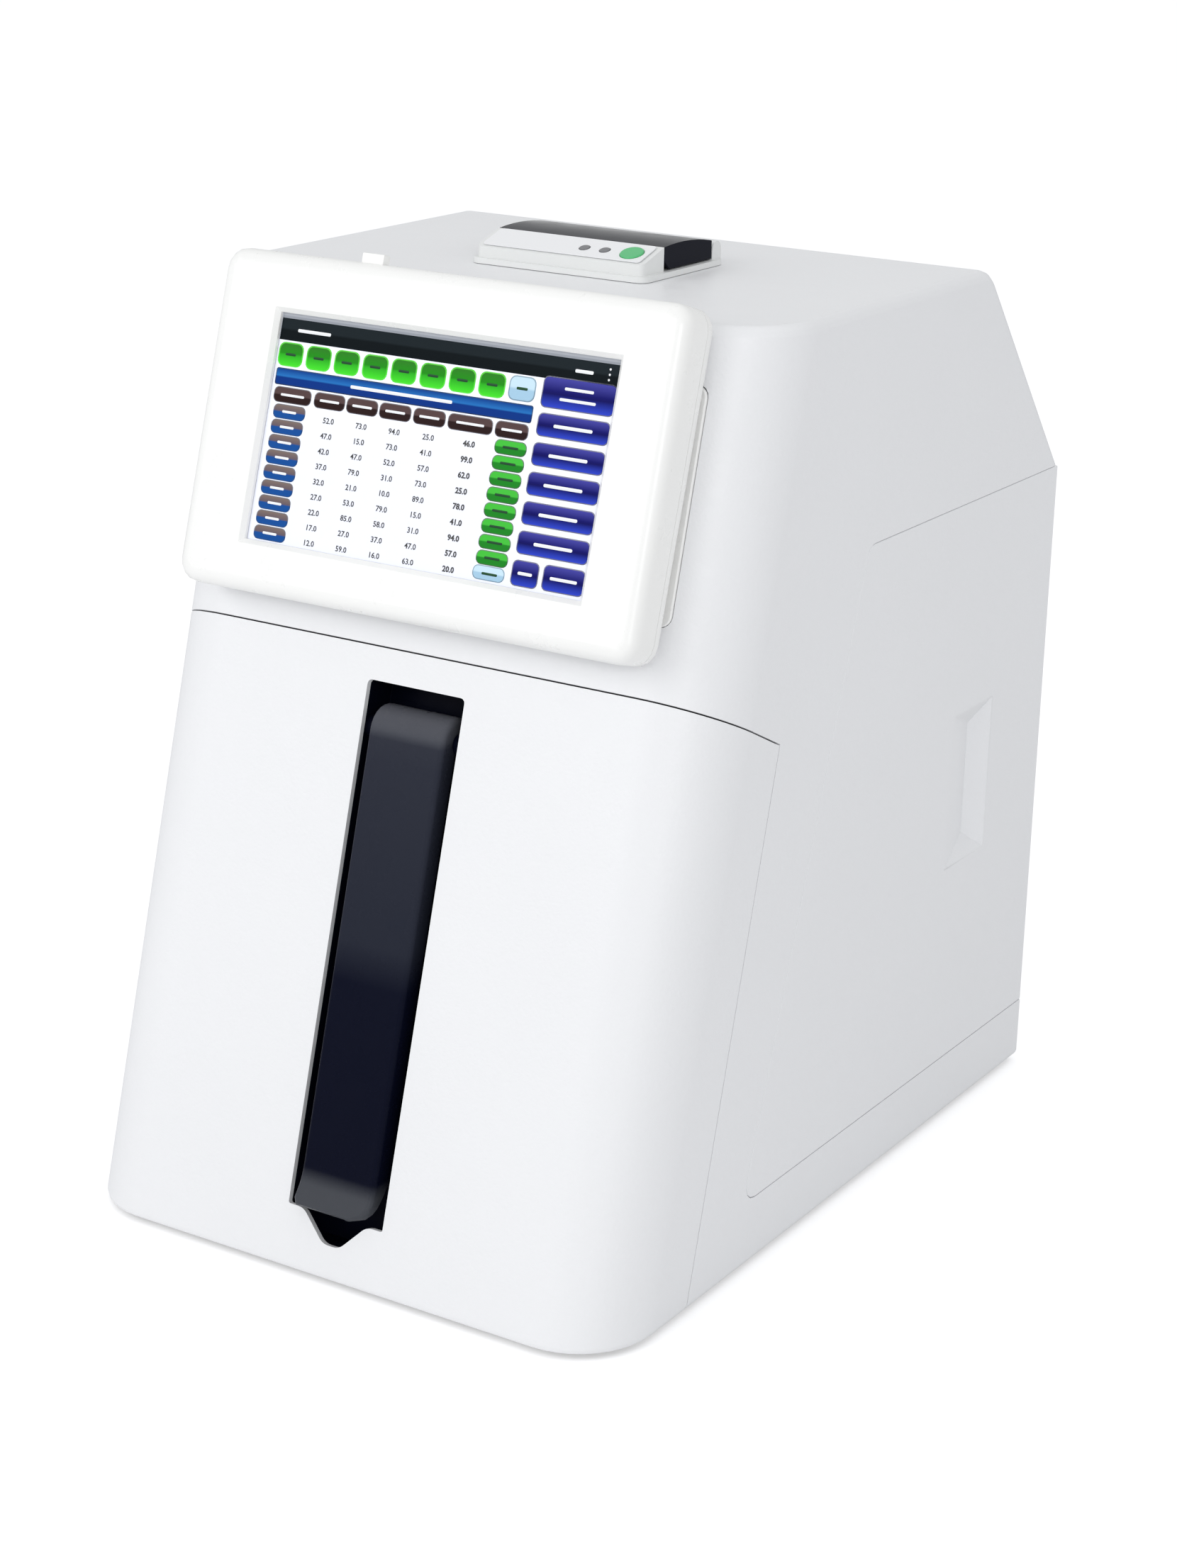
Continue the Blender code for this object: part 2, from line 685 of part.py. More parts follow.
def make_door_hinges():
    """Each bracket is a foot on the base plate with two ears that hold the pin beside the lug."""
    foot_top = BASE_HEIGHT + BASE_THICKNESS + SEAT
    for side, word in ((-1, "left"), (1, "right")):
        centre = side * HINGE_AT
        gap = HINGE_LUG_WIDTH / 2 + RUNNING * 2
        nose = arc((HINGE_Y, HINGE_Z), HINGE_EAR_RADIUS, 270, 90, 8)
        ear = nose + [(HINGE_Y + HINGE_EAR_LENGTH * 0.6, HINGE_Z + HINGE_EAR_RADIUS),
                      (HINGE_Y + HINGE_EAR_LENGTH, foot_top), (BASE_FRONT, foot_top),
                      (BASE_FRONT - 0.002, HINGE_Z - HINGE_EAR_RADIUS)]
        bracket = prism("door_hinge_bracket_" + word, [ear], "YZ", centre - gap - HINGE_EAR_WIDTH,
                        centre + gap + HINGE_EAR_WIDTH, MATS["bracket_zinc"])
        clearance = HINGE_LUG_RADIUS + HINGE_EAR_WIDTH
        throat = block("hinge_throat", (centre - gap, HINGE_Y - clearance, foot_top - FAR),
                       (centre + gap, HINGE_Y + clearance, HINGE_Z + clearance))
        boolean(bracket, throat)
        reach = HINGE_LUG_WIDTH / 2 + HINGE_EAR_WIDTH + RUNNING * 2
        bore = rod("ear_bore", HINGE_PIN_RADIUS + RUNNING, (centre - reach - 0.002, HINGE_Y, HINGE_Z),
                   (centre + reach + 0.002, HINGE_Y, HINGE_Z), 16)
        boolean(bracket, bore)
        rod("door_hinge_pin_" + word, HINGE_PIN_RADIUS, (centre - reach - 0.001, HINGE_Y, HINGE_Z),
            (centre + reach + 0.001, HINGE_Y, HINGE_Z), 16, MATS["steel"])


def grip_points(depth_extra, mouth_extra):
    """The V-shaped pocket: a rectangular mouth on the side face and one upright valley line."""
    face = HALF_WIDTH + (0.001 if not depth_extra else -WALL / 2)
    points = []
    for y, z in ((GRIP_LOW[0] - mouth_extra, GRIP_LOW[1] - mouth_extra),
                 (GRIP_HIGH[0] + mouth_extra, GRIP_LOW[1] - mouth_extra),
                 (GRIP_HIGH[0] + mouth_extra, GRIP_HIGH[1] + mouth_extra),
                 (GRIP_LOW[0] - mouth_extra, GRIP_HIGH[1] + mouth_extra)):
        points.append((face, y, z))
    valley = HALF_WIDTH - GRIP_DEPTH - depth_extra
    points.append((valley, GRIP_VALLEY_Y, GRIP_VALLEY_Z[0] - depth_extra / 2))
    points.append((valley, GRIP_VALLEY_Y, GRIP_VALLEY_Z[1] + depth_extra / 2))
    return points


def make_side_panels():
    for side, word in ((-1, "left"), (1, "right")):
        low, high = sorted((side * (HALF_WIDTH - WALL), side * HALF_WIDTH))
        panel = prism("side_panel_" + word, [panel_outline(SEAM / 4)], "YZ", low, high, MATS["shell_white"])
        for name, extra, mouth, operation in (("grip_skin", GRIP_WALL, GRIP_WALL, "UNION"),
                                              ("grip_pocket", 0.0, 0.0, "DIFFERENCE")):
            points = [(side * x, y, z) for x, y, z in grip_points(extra, mouth)]
            boolean(panel, hull(name, points), operation)


# Sampler

def flap_stations():
    """The flap's face from lip to crown: outward distance, height, turn, half width and depth."""
    rise = FLAP_LIP_PROUD - FLAP_PROUD
    run = FLAP_FLARE_START - FLAP_LOW
    radius = (rise ** 2 + run ** 2) / (2 * rise)
    sweep = math.asin(run / radius)
    stations = []
    for i in range(FLAP_FLARE_STEPS + 1):
        angle = sweep * (1 - i / FLAP_FLARE_STEPS) ** 1.4
        out = FLAP_PROUD + radius * (1 - math.cos(angle))
        along = radius * (sweep - angle)
        left, right = (FLAP_HALF_WIDTH - lip_rounding(along, r) for r in FLAP_LIP_CORNERS)
        depth = FLAP_LIP_DEPTH + (FLAP_DEPTH - FLAP_LIP_DEPTH) * min(along / (radius * sweep), 1.0)
        stations.append((out, FLAP_FLARE_START - radius * math.sin(angle), angle, left, right, depth))
    crown = PIVOT_DEPTH + FLAP_PROUD
    for i in range(FLAP_CROWN_STEPS + 1):
        angle = math.radians(FLAP_CROWN_SWEEP) * i / FLAP_CROWN_STEPS
        out = -PIVOT_DEPTH + crown * math.cos(angle)
        stations.append((out, PIVOT_S + crown * math.sin(angle), angle, FLAP_HALF_WIDTH, FLAP_HALF_WIDTH,
                         FLAP_DEPTH))
    return stations


def lip_rounding(along, radius):
    """How far a rounded lip corner draws the side in at a distance above the lip."""
    inside = max(radius - along, 0.0)
    return radius - math.sqrt(radius ** 2 - inside ** 2)


def flap_section(left, right, depth):
    """Channel section as pairs of sideways place and depth behind the face."""
    radius = min(FLAP_EDGE_RADIUS, depth * 0.9)
    corner = arc((0.0, -radius), radius, 90, 0, 4)
    outer = [(-x - left + radius, d) for x, d in reversed(corner)] + [(x + right - radius, d) for x, d in corner]
    web = FLAP_WALL
    section = [(-left, -depth)] + outer + [(right, -depth)]
    section += [(right - web, -depth), (right - web, -web), (-left + web, -web), (-left + web, -depth)]
    return section


def make_flap():
    bm = bmesh.new()
    rings = []
    for out, height, angle, left, right, depth in flap_stations():
        normal = Vector((0, -math.cos(angle), math.sin(angle)))
        face = Vector((0, -out, height))
        ring = [bm.verts.new(face + Vector((x, 0, 0)) + normal * d) for x, d in flap_section(left, right, depth)]
        rings.append(ring)
    for first, second in zip(rings, rings[1:]):
        for i in range(len(first)):
            j = (i + 1) % len(first)
            bm.faces.new((first[i], first[j], second[j], second[i]))
    bm.faces.new(rings[0])
    bm.faces.new(rings[-1])
    flap = add_object("sampler_flap", mesh_from(bm, "sampler_flap"), MATS["gloss_black"], SLOPE)
    for side in (-1, 1):
        ends = sorted((side * (FLAP_HALF_WIDTH - FLAP_WALL - 0.001), side * (FLAP_HALF_WIDTH - 0.0005)))
        boss = rod("pivot_boss", PIVOT_BOSS_RADIUS, (ends[0], PIVOT_DEPTH, PIVOT_S),
                   (ends[1], PIVOT_DEPTH, PIVOT_S), 20, parent=SLOPE)
        boolean(flap, boss, "UNION")
    bore = rod("pivot_bore", PIVOT_PIN_RADIUS + RUNNING, (-FLAP_HALF_WIDTH - 0.01, PIVOT_DEPTH, PIVOT_S),
               (FLAP_HALF_WIDTH + 0.01, PIVOT_DEPTH, PIVOT_S), 20, parent=SLOPE)
    boolean(flap, bore)
    return smooth(flap)


def make_well():
    """A black tub behind the slot with a flange that lies close behind the door's wall."""
    face = WALL + 0.0008
    outer = WELL_HALF_WIDTH + WELL_WALL
    rim = rectangle((-outer - WELL_FLANGE, WELL_LOW - WELL_RIM_BELOW),
                    (outer + WELL_FLANGE, WELL_HIGH + WELL_FLANGE * 0.5), 0.004, 3)
    well = prism("sampler_well", [rim], "XZ", face, face + WELL_FLANGE_THICKNESS, MATS["gloss_black"], SLOPE)
    tub = block("well_tub", (-outer, face + WELL_FLANGE_THICKNESS / 2, WELL_LOW),
                (outer, WELL_DEPTH, WELL_HIGH), parent=SLOPE, bevel=0.001)
    boolean(well, tub, "UNION")
    hollow = block("well_hollow", (-WELL_HALF_WIDTH, -FAR, WELL_LOW + WELL_WALL),
                   (WELL_HALF_WIDTH, WELL_DEPTH - WELL_WALL, WELL_HIGH - WELL_WALL), parent=SLOPE)
    boolean(well, hollow)
    for side in (-1, 1):
        ends = sorted((side * (FLAP_HALF_WIDTH + RUNNING), side * (WELL_HALF_WIDTH + WELL_WALL / 2)))
        boss = rod("well_boss", PIVOT_BOSS_RADIUS, (ends[0], PIVOT_DEPTH, PIVOT_S),
                   (ends[1], PIVOT_DEPTH, PIVOT_S), 20, parent=SLOPE)
        boolean(well, boss, "UNION")
    bore = rod("well_bore", PIVOT_PIN_RADIUS + RUNNING, (-outer - 0.01, PIVOT_DEPTH, PIVOT_S),
               (outer + 0.01, PIVOT_DEPTH, PIVOT_S), 20, parent=SLOPE)
    boolean(well, bore)
    rod("flap_pin", PIVOT_PIN_RADIUS, (-outer - 0.001, PIVOT_DEPTH, PIVOT_S),
        (outer + 0.001, PIVOT_DEPTH, PIVOT_S), 16, MATS["steel"], SLOPE)
    return smooth(well)


def make_probe():
    back = WELL_DEPTH - WELL_WALL - SEAT
    high = PROBE_HOLDER_LOW + PROBE_HOLDER_LENGTH
    half = PROBE_HOLDER_WIDTH / 2
    holder = block("probe_holder", (-half, PROBE_DEPTH - 0.0035, PROBE_HOLDER_LOW), (half, back, high),
                   MATS["holder_grey"], SLOPE, 0.0012, 2)
    bore = rod("probe_bore", PROBE_RADIUS + SEAT, (0, PROBE_DEPTH, PROBE_HOLDER_LOW - 0.01),
               (0, PROBE_DEPTH, high - 0.006), 12, parent=SLOPE)
    boolean(holder, bore)
    rod("sample_probe", PROBE_RADIUS, (0, PROBE_DEPTH, PROBE_LOW), (0, PROBE_DEPTH, high - 0.0065), 12,
        MATS["steel"], SLOPE)


def make_sampler_bracket():
    """A sheet channel from the bulkhead to the back of the leaning well."""
    low = 0.110
    high = 0.200
    back = BULKHEAD_Y - SEAT
    front_gap = (WELL_DEPTH + SEAT) / math.cos(FRONT_LEAN)
    side = [(low * LEAN + front_gap, low), (back, low), (back, high), (high * LEAN + front_gap, high)]
    half = WELL_HALF_WIDTH - 0.006
    bracket = prism("sampler_bracket", [side], "YZ", -half, half, MATS["sheet_steel"])
    sheet = BULKHEAD_THICKNESS
    inner = [(low * LEAN + front_gap + sheet - 0.01 * LEAN, low - 0.01), (back - sheet, low - 0.01),
             (back - sheet, high + 0.01), (high * LEAN + front_gap + sheet + 0.01 * LEAN, high + 0.01)]
    boolean(bracket, prism("bracket_hollow", [inner], "YZ", -half + sheet, half - sheet))


# Display

def make_bezel():
    outline = centred_rectangle((0, 0), BEZEL_WIDTH, BEZEL_HEIGHT, BEZEL_CORNER, 4)
    bezel = prism("display_bezel", [outline], "XZ", 0.0, BEZEL_DEPTH, MATS["bezel_white"], DISPLAY)
    bm = bmesh.new()
    bm.from_mesh(bezel.data)
    rim = [e for e in bm.edges if edge_angle(e) > math.radians(60) and all(v.co.y < 1e-6 for v in e.verts)]
    bmesh.ops.bevel(bm, geom=rim, offset=BEZEL_EDGE_RADIUS, segments=4, profile=0.5, affect="EDGES")
    bm.to_mesh(bezel.data)
    bm.free()
    inner = centred_rectangle((0, 0), BEZEL_WIDTH - 2 * BEZEL_WALL, BEZEL_HEIGHT - 2 * BEZEL_WALL,
                              BEZEL_CORNER - BEZEL_WALL, 3)
    boolean(bezel, prism("bezel_hollow", [inner], "XZ", BEZEL_WALL + 0.0008, FAR, parent=DISPLAY))
    boolean(bezel, screen_cutter())
    notch = key_box(RUNNING, KEY_TRAVEL)
    boolean(bezel, block("key_notch", *notch, parent=DISPLAY))
    return smooth(bezel)


def screen_cutter():
    """The window in the bezel, wider at the front by its bevel."""
    x = SCREEN_SHIFT_X
    s = SCREEN_SHIFT_S
    bm = bmesh.new()
    bmesh.ops.create_cube(bm, size=1.0)
    for vert in bm.verts:
        front = vert.co.y < 0
        grow = SCREEN_BEVEL + 0.002 if front else 0.0
        vert.co.x = x + math.copysign(SCREEN_WIDTH / 2 + grow, vert.co.x)
        vert.co.z = s + math.copysign(SCREEN_HEIGHT / 2 + grow, vert.co.z)
        vert.co.y = -0.002 if front else SCREEN_BEVEL
    cone = add_object("screen_bevel_cutter", mesh_from(bm, "screen_bevel_cutter"), parent=DISPLAY)
    window = block("screen_window", (x - SCREEN_WIDTH / 2, -FAR, s - SCREEN_HEIGHT / 2),
                   (x + SCREEN_WIDTH / 2, FAR, s + SCREEN_HEIGHT / 2), parent=DISPLAY)
    return boolean(cone, window, "UNION")


def key_box(side_gap, deep):
    """The display key's space: through the bezel's top wall and a little way into the case."""
    half = KEY_WIDTH / 2 + side_gap
    top = BEZEL_HEIGHT / 2
    return ((KEY_X - half, KEY_BACK - KEY_THICKNESS - side_gap, top - BEZEL_WALL - 0.006 - deep),
            (KEY_X + half, KEY_BACK + side_gap, top + FAR))


def make_key():
    low, high = key_box(0.0, 0.0)
    top = BEZEL_HEIGHT / 2 + KEY_PROUD
    return block("display_key", low, (high[0], high[1], top), MATS["bezel_white"], DISPLAY, 0.0006, 2)


def make_screen():
    x = SCREEN_SHIFT_X
    s = SCREEN_SHIFT_S
    front = BEZEL_WALL + 0.0008 + SEAT
    glass_half = (SCREEN_WIDTH / 2 + GLASS_MARGIN, SCREEN_HEIGHT / 2 + GLASS_MARGIN)
    block("touch_glass", (x - glass_half[0], front, s - glass_half[1]),
          (x + glass_half[0], front + GLASS_THICKNESS, s + glass_half[1]), MATS["screen_glass"], DISPLAY)
    rear = front + GLASS_THICKNESS + SEAT
    half = (SCREEN_WIDTH / 2 + LCD_MARGIN, SCREEN_HEIGHT / 2 + LCD_MARGIN)
    block("lcd_module", (x - half[0], rear, s - half[1]),
          (x + half[0], rear + LCD_THICKNESS, s + half[1]), MATS["lcd_frame"], DISPLAY)
    return rear + LCD_THICKNESS


def make_case(lcd_back):
    """Rear half of the display: a tray that closes the bezel, with a plug through the shell."""
    front = BEZEL_DEPTH + SEAT
    back = front + CASE_DEPTH
    outline = centred_rectangle((0, 0), BEZEL_WIDTH, BEZEL_HEIGHT, BEZEL_CORNER, 4)
    case = prism("display_case", [outline], "XZ", front, back, MATS["bezel_white"], DISPLAY)
    bm = bmesh.new()
    bm.from_mesh(case.data)
    rim = [e for e in bm.edges
           if edge_angle(e) > math.radians(60) and all(v.co.y > back - 1e-6 for v in e.verts)]
    bmesh.ops.bevel(bm, geom=rim, offset=0.002, segments=2, profile=0.5, affect="EDGES")
    bm.to_mesh(case.data)
    bm.free()
    plug = block("case_plug", (-CASE_BOSS_WIDTH / 2, back - 0.001, CUT_SHIFT - CASE_BOSS_HEIGHT / 2),
                 (CASE_BOSS_WIDTH / 2, back + CASE_BOSS_DEPTH, CUT_SHIFT + CASE_BOSS_HEIGHT / 2), parent=DISPLAY)
    boolean(case, plug, "UNION")
    boolean(case, block("plug_end", (-BODY_WIDTH, WALL, DISPLAY_CUT_LOW - FAR),
                        (BODY_WIDTH, WALL + FAR, DISPLAY_CUT_HIGH + FAR), parent=SLOPE))
    half = (SCREEN_WIDTH / 2 + LCD_MARGIN - 0.004, SCREEN_HEIGHT / 2 + LCD_MARGIN - 0.004)
    pad = block("lcd_pad", (SCREEN_SHIFT_X - half[0], lcd_back + SEAT, SCREEN_SHIFT_S - half[1]),
                (SCREEN_SHIFT_X + half[0], front + 0.001, SCREEN_SHIFT_S + half[1]), parent=DISPLAY)
    boolean(case, pad, "UNION")
    room = (half[0] - CASE_WALL, half[1] - CASE_WALL)
    pocket = block("pad_pocket", (SCREEN_SHIFT_X - room[0], 0.0, SCREEN_SHIFT_S - room[1]),
                   (SCREEN_SHIFT_X + room[0], back - CASE_WALL, SCREEN_SHIFT_S + room[1]), parent=DISPLAY)
    boolean(case, pocket)
    return smooth(case)


def make_display_bracket():
    """A sheet plate close behind the shell's front wall that the display is screwed to."""
    front = WALL + SEAT
    half_h = (DISPLAY_CUT_HIGH - DISPLAY_CUT_LOW) / 2 + BRACKET_MARGIN
    centre = (0, (DISPLAY_CUT_LOW + DISPLAY_CUT_HIGH) / 2)
    outline = centred_rectangle(centre, 2 * BRACKET_HALF_WIDTH, 2 * half_h, 0.004, 2)
    window = centred_rectangle(centre, CASE_BOSS_WIDTH * 0.7, CASE_BOSS_HEIGHT * 0.6, 0.006, 2)
    prism("display_bracket", [outline, window], "XZ", front, front + BRACKET_THICKNESS,
          MATS["sheet_steel"], SLOPE)


# Printer

def printer_box(inset=0.0):
    half_w = FLANGE_WIDTH / 2 - inset
    half_l = FLANGE_LENGTH / 2 - inset
    return (PRINTER_X - half_w, PRINTER_Y - half_l), (PRINTER_X + half_w, PRINTER_Y + half_l)


def fascia_outline(inset=0.0):
    """Side outline of the raised front: a short upright face and a sloped panel."""
    low, _ = printer_box(FASCIA_INSET)
    base = BODY_HEIGHT + FLANGE_THICKNESS
    front = low[1]
    return [
        (front, base - FLANGE_THICKNESS / 2),
        (front, base + FASCIA_FRONT_HEIGHT),
        (front + FASCIA_LENGTH, base + FASCIA_REAR_HEIGHT),
        (front + FASCIA_LENGTH, base - FLANGE_THICKNESS / 2),
    ]


def fascia_frame():
    """The sloped panel's own frame: X right, Y up the slope, Z out of the panel."""
    low, high = printer_box(FASCIA_INSET)
    base = BODY_HEIGHT + FLANGE_THICKNESS
    rise = FASCIA_REAR_HEIGHT - FASCIA_FRONT_HEIGHT
    angle = math.atan2(rise, FASCIA_LENGTH)
    middle = Vector((PRINTER_X, low[1] + FASCIA_LENGTH / 2, base + FASCIA_FRONT_HEIGHT + rise / 2))
    return Matrix.Translation(middle) @ Matrix.Rotation(angle, 4, "X"), angle


def cover_hinge():
    _, high = printer_box()
    return (high[1] - CHEEK_RADIUS - 0.0005, BODY_HEIGHT + FLANGE_THICKNESS + COVER_HINGE_HEIGHT)


def make_printer_frame():
    low, high = printer_box()
    base = BODY_HEIGHT + SEAT
    top = BODY_HEIGHT + FLANGE_THICKNESS
    frame = prism("printer_frame", [rectangle(low, high, FLANGE_CORNER, 4)], "XY", base, top,
                  MATS["printer_white"])
    bucket_half = (BUCKET_WIDTH / 2, BUCKET_LENGTH / 2)
    bucket = block("printer_bucket",
                   (PRINTER_X - bucket_half[0], PRINTER_Y - bucket_half[1], BODY_HEIGHT - BUCKET_DEPTH),
                   (PRINTER_X + bucket_half[0], PRINTER_Y + bucket_half[1], top - FLANGE_THICKNESS / 2))
    boolean(frame, bucket, "UNION")
    inset_low, inset_high = printer_box(FASCIA_INSET)
    fascia = prism("fascia", [fascia_outline()], "YZ", inset_low[0], inset_high[0])
    bevel_upright_corners(fascia, 0.003)
    boolean(frame, fascia, "UNION")
    y, z = cover_hinge()
    for side in (-1, 1):
        ends = cheek_span(side)
        cheek = [(y - CHEEK_RADIUS, top - 0.001), (y + CHEEK_RADIUS, top - 0.001)]
        cheek += arc((y, z), CHEEK_RADIUS, 0, 180, 8)
        boolean(frame, prism("cheek", [cheek], "YZ", *ends), "UNION")
    hollow = block("bucket_hollow",
                   (PRINTER_X - bucket_half[0] + BUCKET_WALL, PRINTER_Y - bucket_half[1] + BUCKET_WALL,
                    BODY_HEIGHT - BUCKET_DEPTH + BUCKET_WALL),
                   (PRINTER_X + bucket_half[0] - BUCKET_WALL, cover_hinge()[0] - CHEEK_RADIUS,
                    BODY_HEIGHT + FAR))
    keep = low[1] + FASCIA_INSET + FASCIA_LENGTH
    front_roof = block("roof_saver", (PRINTER_X - FLANGE_WIDTH, low[1] - FAR, top - 0.002),
                       (PRINTER_X + FLANGE_WIDTH, keep, top + FAR))
    boolean(hollow, front_roof)
    boolean(frame, hollow)
    bore = rod("cover_bore", COVER_PIN_RADIUS + RUNNING, (PRINTER_X - FLANGE_WIDTH / 2 - 0.01, y, z),
               (PRINTER_X + FLANGE_WIDTH / 2 - 0.006, y, z), 12)
    boolean(frame, bore)
    matrix, _ = fascia_frame()
    for x, radius in ((LED_X[0], LED_RADIUS), (LED_X[1], LED_RADIUS), (FEED_X, FEED_RADIUS)):
        hole = rod("panel_hole", radius + RUNNING, matrix @ Vector((x - PRINTER_X, -0.001, -0.004)),
                   matrix @ Vector((x - PRINTER_X, -0.001, 0.01)), 20)
        boolean(frame, hole)
    return smooth(frame)


def cheek_span(side):
    low, high = printer_box(FASCIA_INSET)
    if side < 0:
        return low[0], low[0] + CHEEK_WIDTH
    return high[0] - CHEEK_WIDTH, high[0]


def bevel_upright_corners(obj, radius):
    """Round the two front corners of the raised fascia as seen from above."""
    bm = bmesh.new()
    bm.from_mesh(obj.data)
    front = min(v.co.y for v in bm.verts)
    edges = [e for e in bm.edges
             if all(v.co.y < front + 1e-6 for v in e.verts)
             and abs(e.verts[0].co.x - e.verts[1].co.x) < 1e-6]
    bmesh.ops.bevel(bm, geom=edges, offset=radius, segments=3, profile=0.5, affect="EDGES")
    bm.to_mesh(obj.data)
    bm.free()


def make_fascia_parts():
    matrix, _ = fascia_frame()
    low, high = printer_box(FASCIA_INSET)
    rise = FASCIA_REAR_HEIGHT - FASCIA_FRONT_HEIGHT
    slope = math.hypot(rise, FASCIA_LENGTH)
    outer = centred_rectangle((0, 0), high[0] - low[0] - 2 * LABEL_INSET, slope - 0.003, 0.0018, 3)
    holes = [arc((x - PRINTER_X, -0.001), radius + RUNNING, 0, 342, 19)
             for x, radius in ((LED_X[0], LED_RADIUS), (LED_X[1], LED_RADIUS), (FEED_X, FEED_RADIUS))]
    label = prism("printer_label", [outer] + holes, "XY", SEAT, SEAT + LABEL_THICKNESS, MATS["label_white"])
    label.matrix_local = matrix
    for word, x in (("power_led", LED_X[0]), ("error_led", LED_X[1])):
        rod(word, LED_RADIUS, matrix @ Vector((x - PRINTER_X, -0.001, -0.0037)),
            matrix @ Vector((x - PRINTER_X, -0.001, SEAT + LABEL_THICKNESS + 0.0003)), 20, MATS["led_grey"])
    rod("feed_button", FEED_RADIUS, matrix @ Vector((FEED_X - PRINTER_X, -0.001, -0.0037 + FEED_TRAVEL)),
        matrix @ Vector((FEED_X - PRINTER_X, -0.001, LABEL_THICKNESS + SEAT + FEED_TRAVEL)), 24,
        MATS["feed_green"])


def make_cover():
    """The smoked paper door: an arched roof with side skirts, turning in the rear cheeks."""
    low, high = printer_box(FASCIA_INSET)
    base = BODY_HEIGHT + FLANGE_THICKNESS
    start = low[1] + FASCIA_LENGTH + SEAT * 2
    y, z = cover_hinge()
    top_front = base + FASCIA_REAR_HEIGHT
    barrel = CHEEK_RADIUS - SEAT
    rear_top = (y, z + barrel)
    chord = rear_top[0] - start
    sag = COVER_RISE
    roof = []
    steps = 8
    for i in range(steps + 1):
        t = i / steps
        height = top_front + (rear_top[1] - top_front) * t + sag * 4 * t * (1 - t)
        roof.append((start + chord * t, height))
    skirt_rear = y - CHEEK_RADIUS - SEAT * 2
    outer = [(start, base + COVER_SIDE_CORNER)] + roof + arc((y, z), barrel, 80, -90, 8)
    outer += [(skirt_rear + 0.001, z - barrel)]
    outer += [(skirt_rear, base + SEAT * 2), (start + COVER_SIDE_CORNER, base + SEAT * 2)]
    cover = prism("printer_cover", [outer], "YZ", low[0], high[0], MATS["smoked_cover"])
    inner_roof = [(py, pz - COVER_WALL) for py, pz in roof]
    inner = [(start + COVER_WALL, base - 0.004)] + [p for p in inner_roof if start + COVER_WALL < p[0]]
    inner = [p for p in inner if p[0] < y - barrel - 0.001]
    inner += [(y - barrel - 0.001, inner[-1][1]), (y - barrel - 0.001, base - 0.004)]
    boolean(cover, prism("cover_hollow", [inner], "YZ", low[0] + COVER_WALL, high[0] - COVER_WALL))
    for side in (-1, 1):
        ends = cheek_span(side)
        slack = RUNNING * 2
        room = block("cheek_room", (ends[0] - (FAR if side < 0 else slack), skirt_rear, base - FAR),
                     (ends[1] + (FAR if side > 0 else slack), y + FAR, base + FAR))
        boolean(cover, room)
    bore = rod("barrel_bore", COVER_PIN_RADIUS + RUNNING, (PRINTER_X - FLANGE_WIDTH, y, z),
               (PRINTER_X + FLANGE_WIDTH, y, z), 12)
    boolean(cover, bore)
    smooth(cover)
    rod("cover_pin", COVER_PIN_RADIUS, (low[0] + 0.001, y, z), (high[0] - 0.0075, y, z), 12, MATS["steel"])


def make_printer_works():
    """Paper roll, print head with its tear edge, and the rubber platen that lies on the head."""
    bottom = BODY_HEIGHT - BUCKET_DEPTH + BUCKET_WALL + SEAT
    roll_y = PRINTER_Y + 0.006
    roll_z = bottom + PAPER_RADIUS
    roll = rod("paper_roll", PAPER_RADIUS, (PRINTER_X - PAPER_WIDTH / 2, roll_y, roll_z),
               (PRINTER_X + PAPER_WIDTH / 2, roll_y, roll_z), 32, MATS["paper_white"])
    core = rod("roll_core", PAPER_CORE_RADIUS, (PRINTER_X - PAPER_WIDTH, roll_y, roll_z),
               (PRINTER_X + PAPER_WIDTH, roll_y, roll_z), 16)
    boolean(roll, core)
    wall_y = PRINTER_Y - BUCKET_LENGTH / 2 + BUCKET_WALL + SEAT
    head_high = BODY_HEIGHT - 0.002
    ends = (PRINTER_X - PAPER_WIDTH / 2 - 0.006, PRINTER_X + PAPER_WIDTH / 2 + 0.006)
    head = block("print_head", (ends[0], wall_y, bottom + 0.012), (ends[1], wall_y + HEAD_THICKNESS, head_high),
                 MATS["holder_grey"])
    platen_y = wall_y + HEAD_THICKNESS + SEAT + PLATEN_RADIUS
    platen_z = head_high - PLATEN_RADIUS
    platen = rod("platen_roller", PLATEN_RADIUS, (PRINTER_X - PAPER_WIDTH / 2, platen_y, platen_z),
                 (PRINTER_X + PAPER_WIDTH / 2, platen_y, platen_z), 24, MATS["rubber_black"])
    shaft = rod("platen_shaft", PLATEN_SHAFT_RADIUS, (PRINTER_X - PAPER_WIDTH / 2 - 0.005, platen_y, platen_z),
                (PRINTER_X + PAPER_WIDTH / 2 + 0.005, platen_y, platen_z), 12)
    boolean(platen, shaft, "UNION")
    for side in (-1, 1):
        span = sorted((PRINTER_X + side * (PAPER_WIDTH / 2 + 0.001), PRINTER_X + side * (PAPER_WIDTH / 2 + 0.006)))
        arm = block("platen_bearing", (span[0], wall_y + HEAD_THICKNESS / 2, bottom + 0.014),
                    (span[1], platen_y + 0.004, head_high - 0.0005))
        boolean(head, arm, "UNION")
    bore = rod("bearing_bore", PLATEN_SHAFT_RADIUS + RUNNING, (ends[0] - 0.002, platen_y, platen_z),
               (ends[1] + 0.002, platen_y, platen_z), 16)
    boolean(head, bore)


# Inside

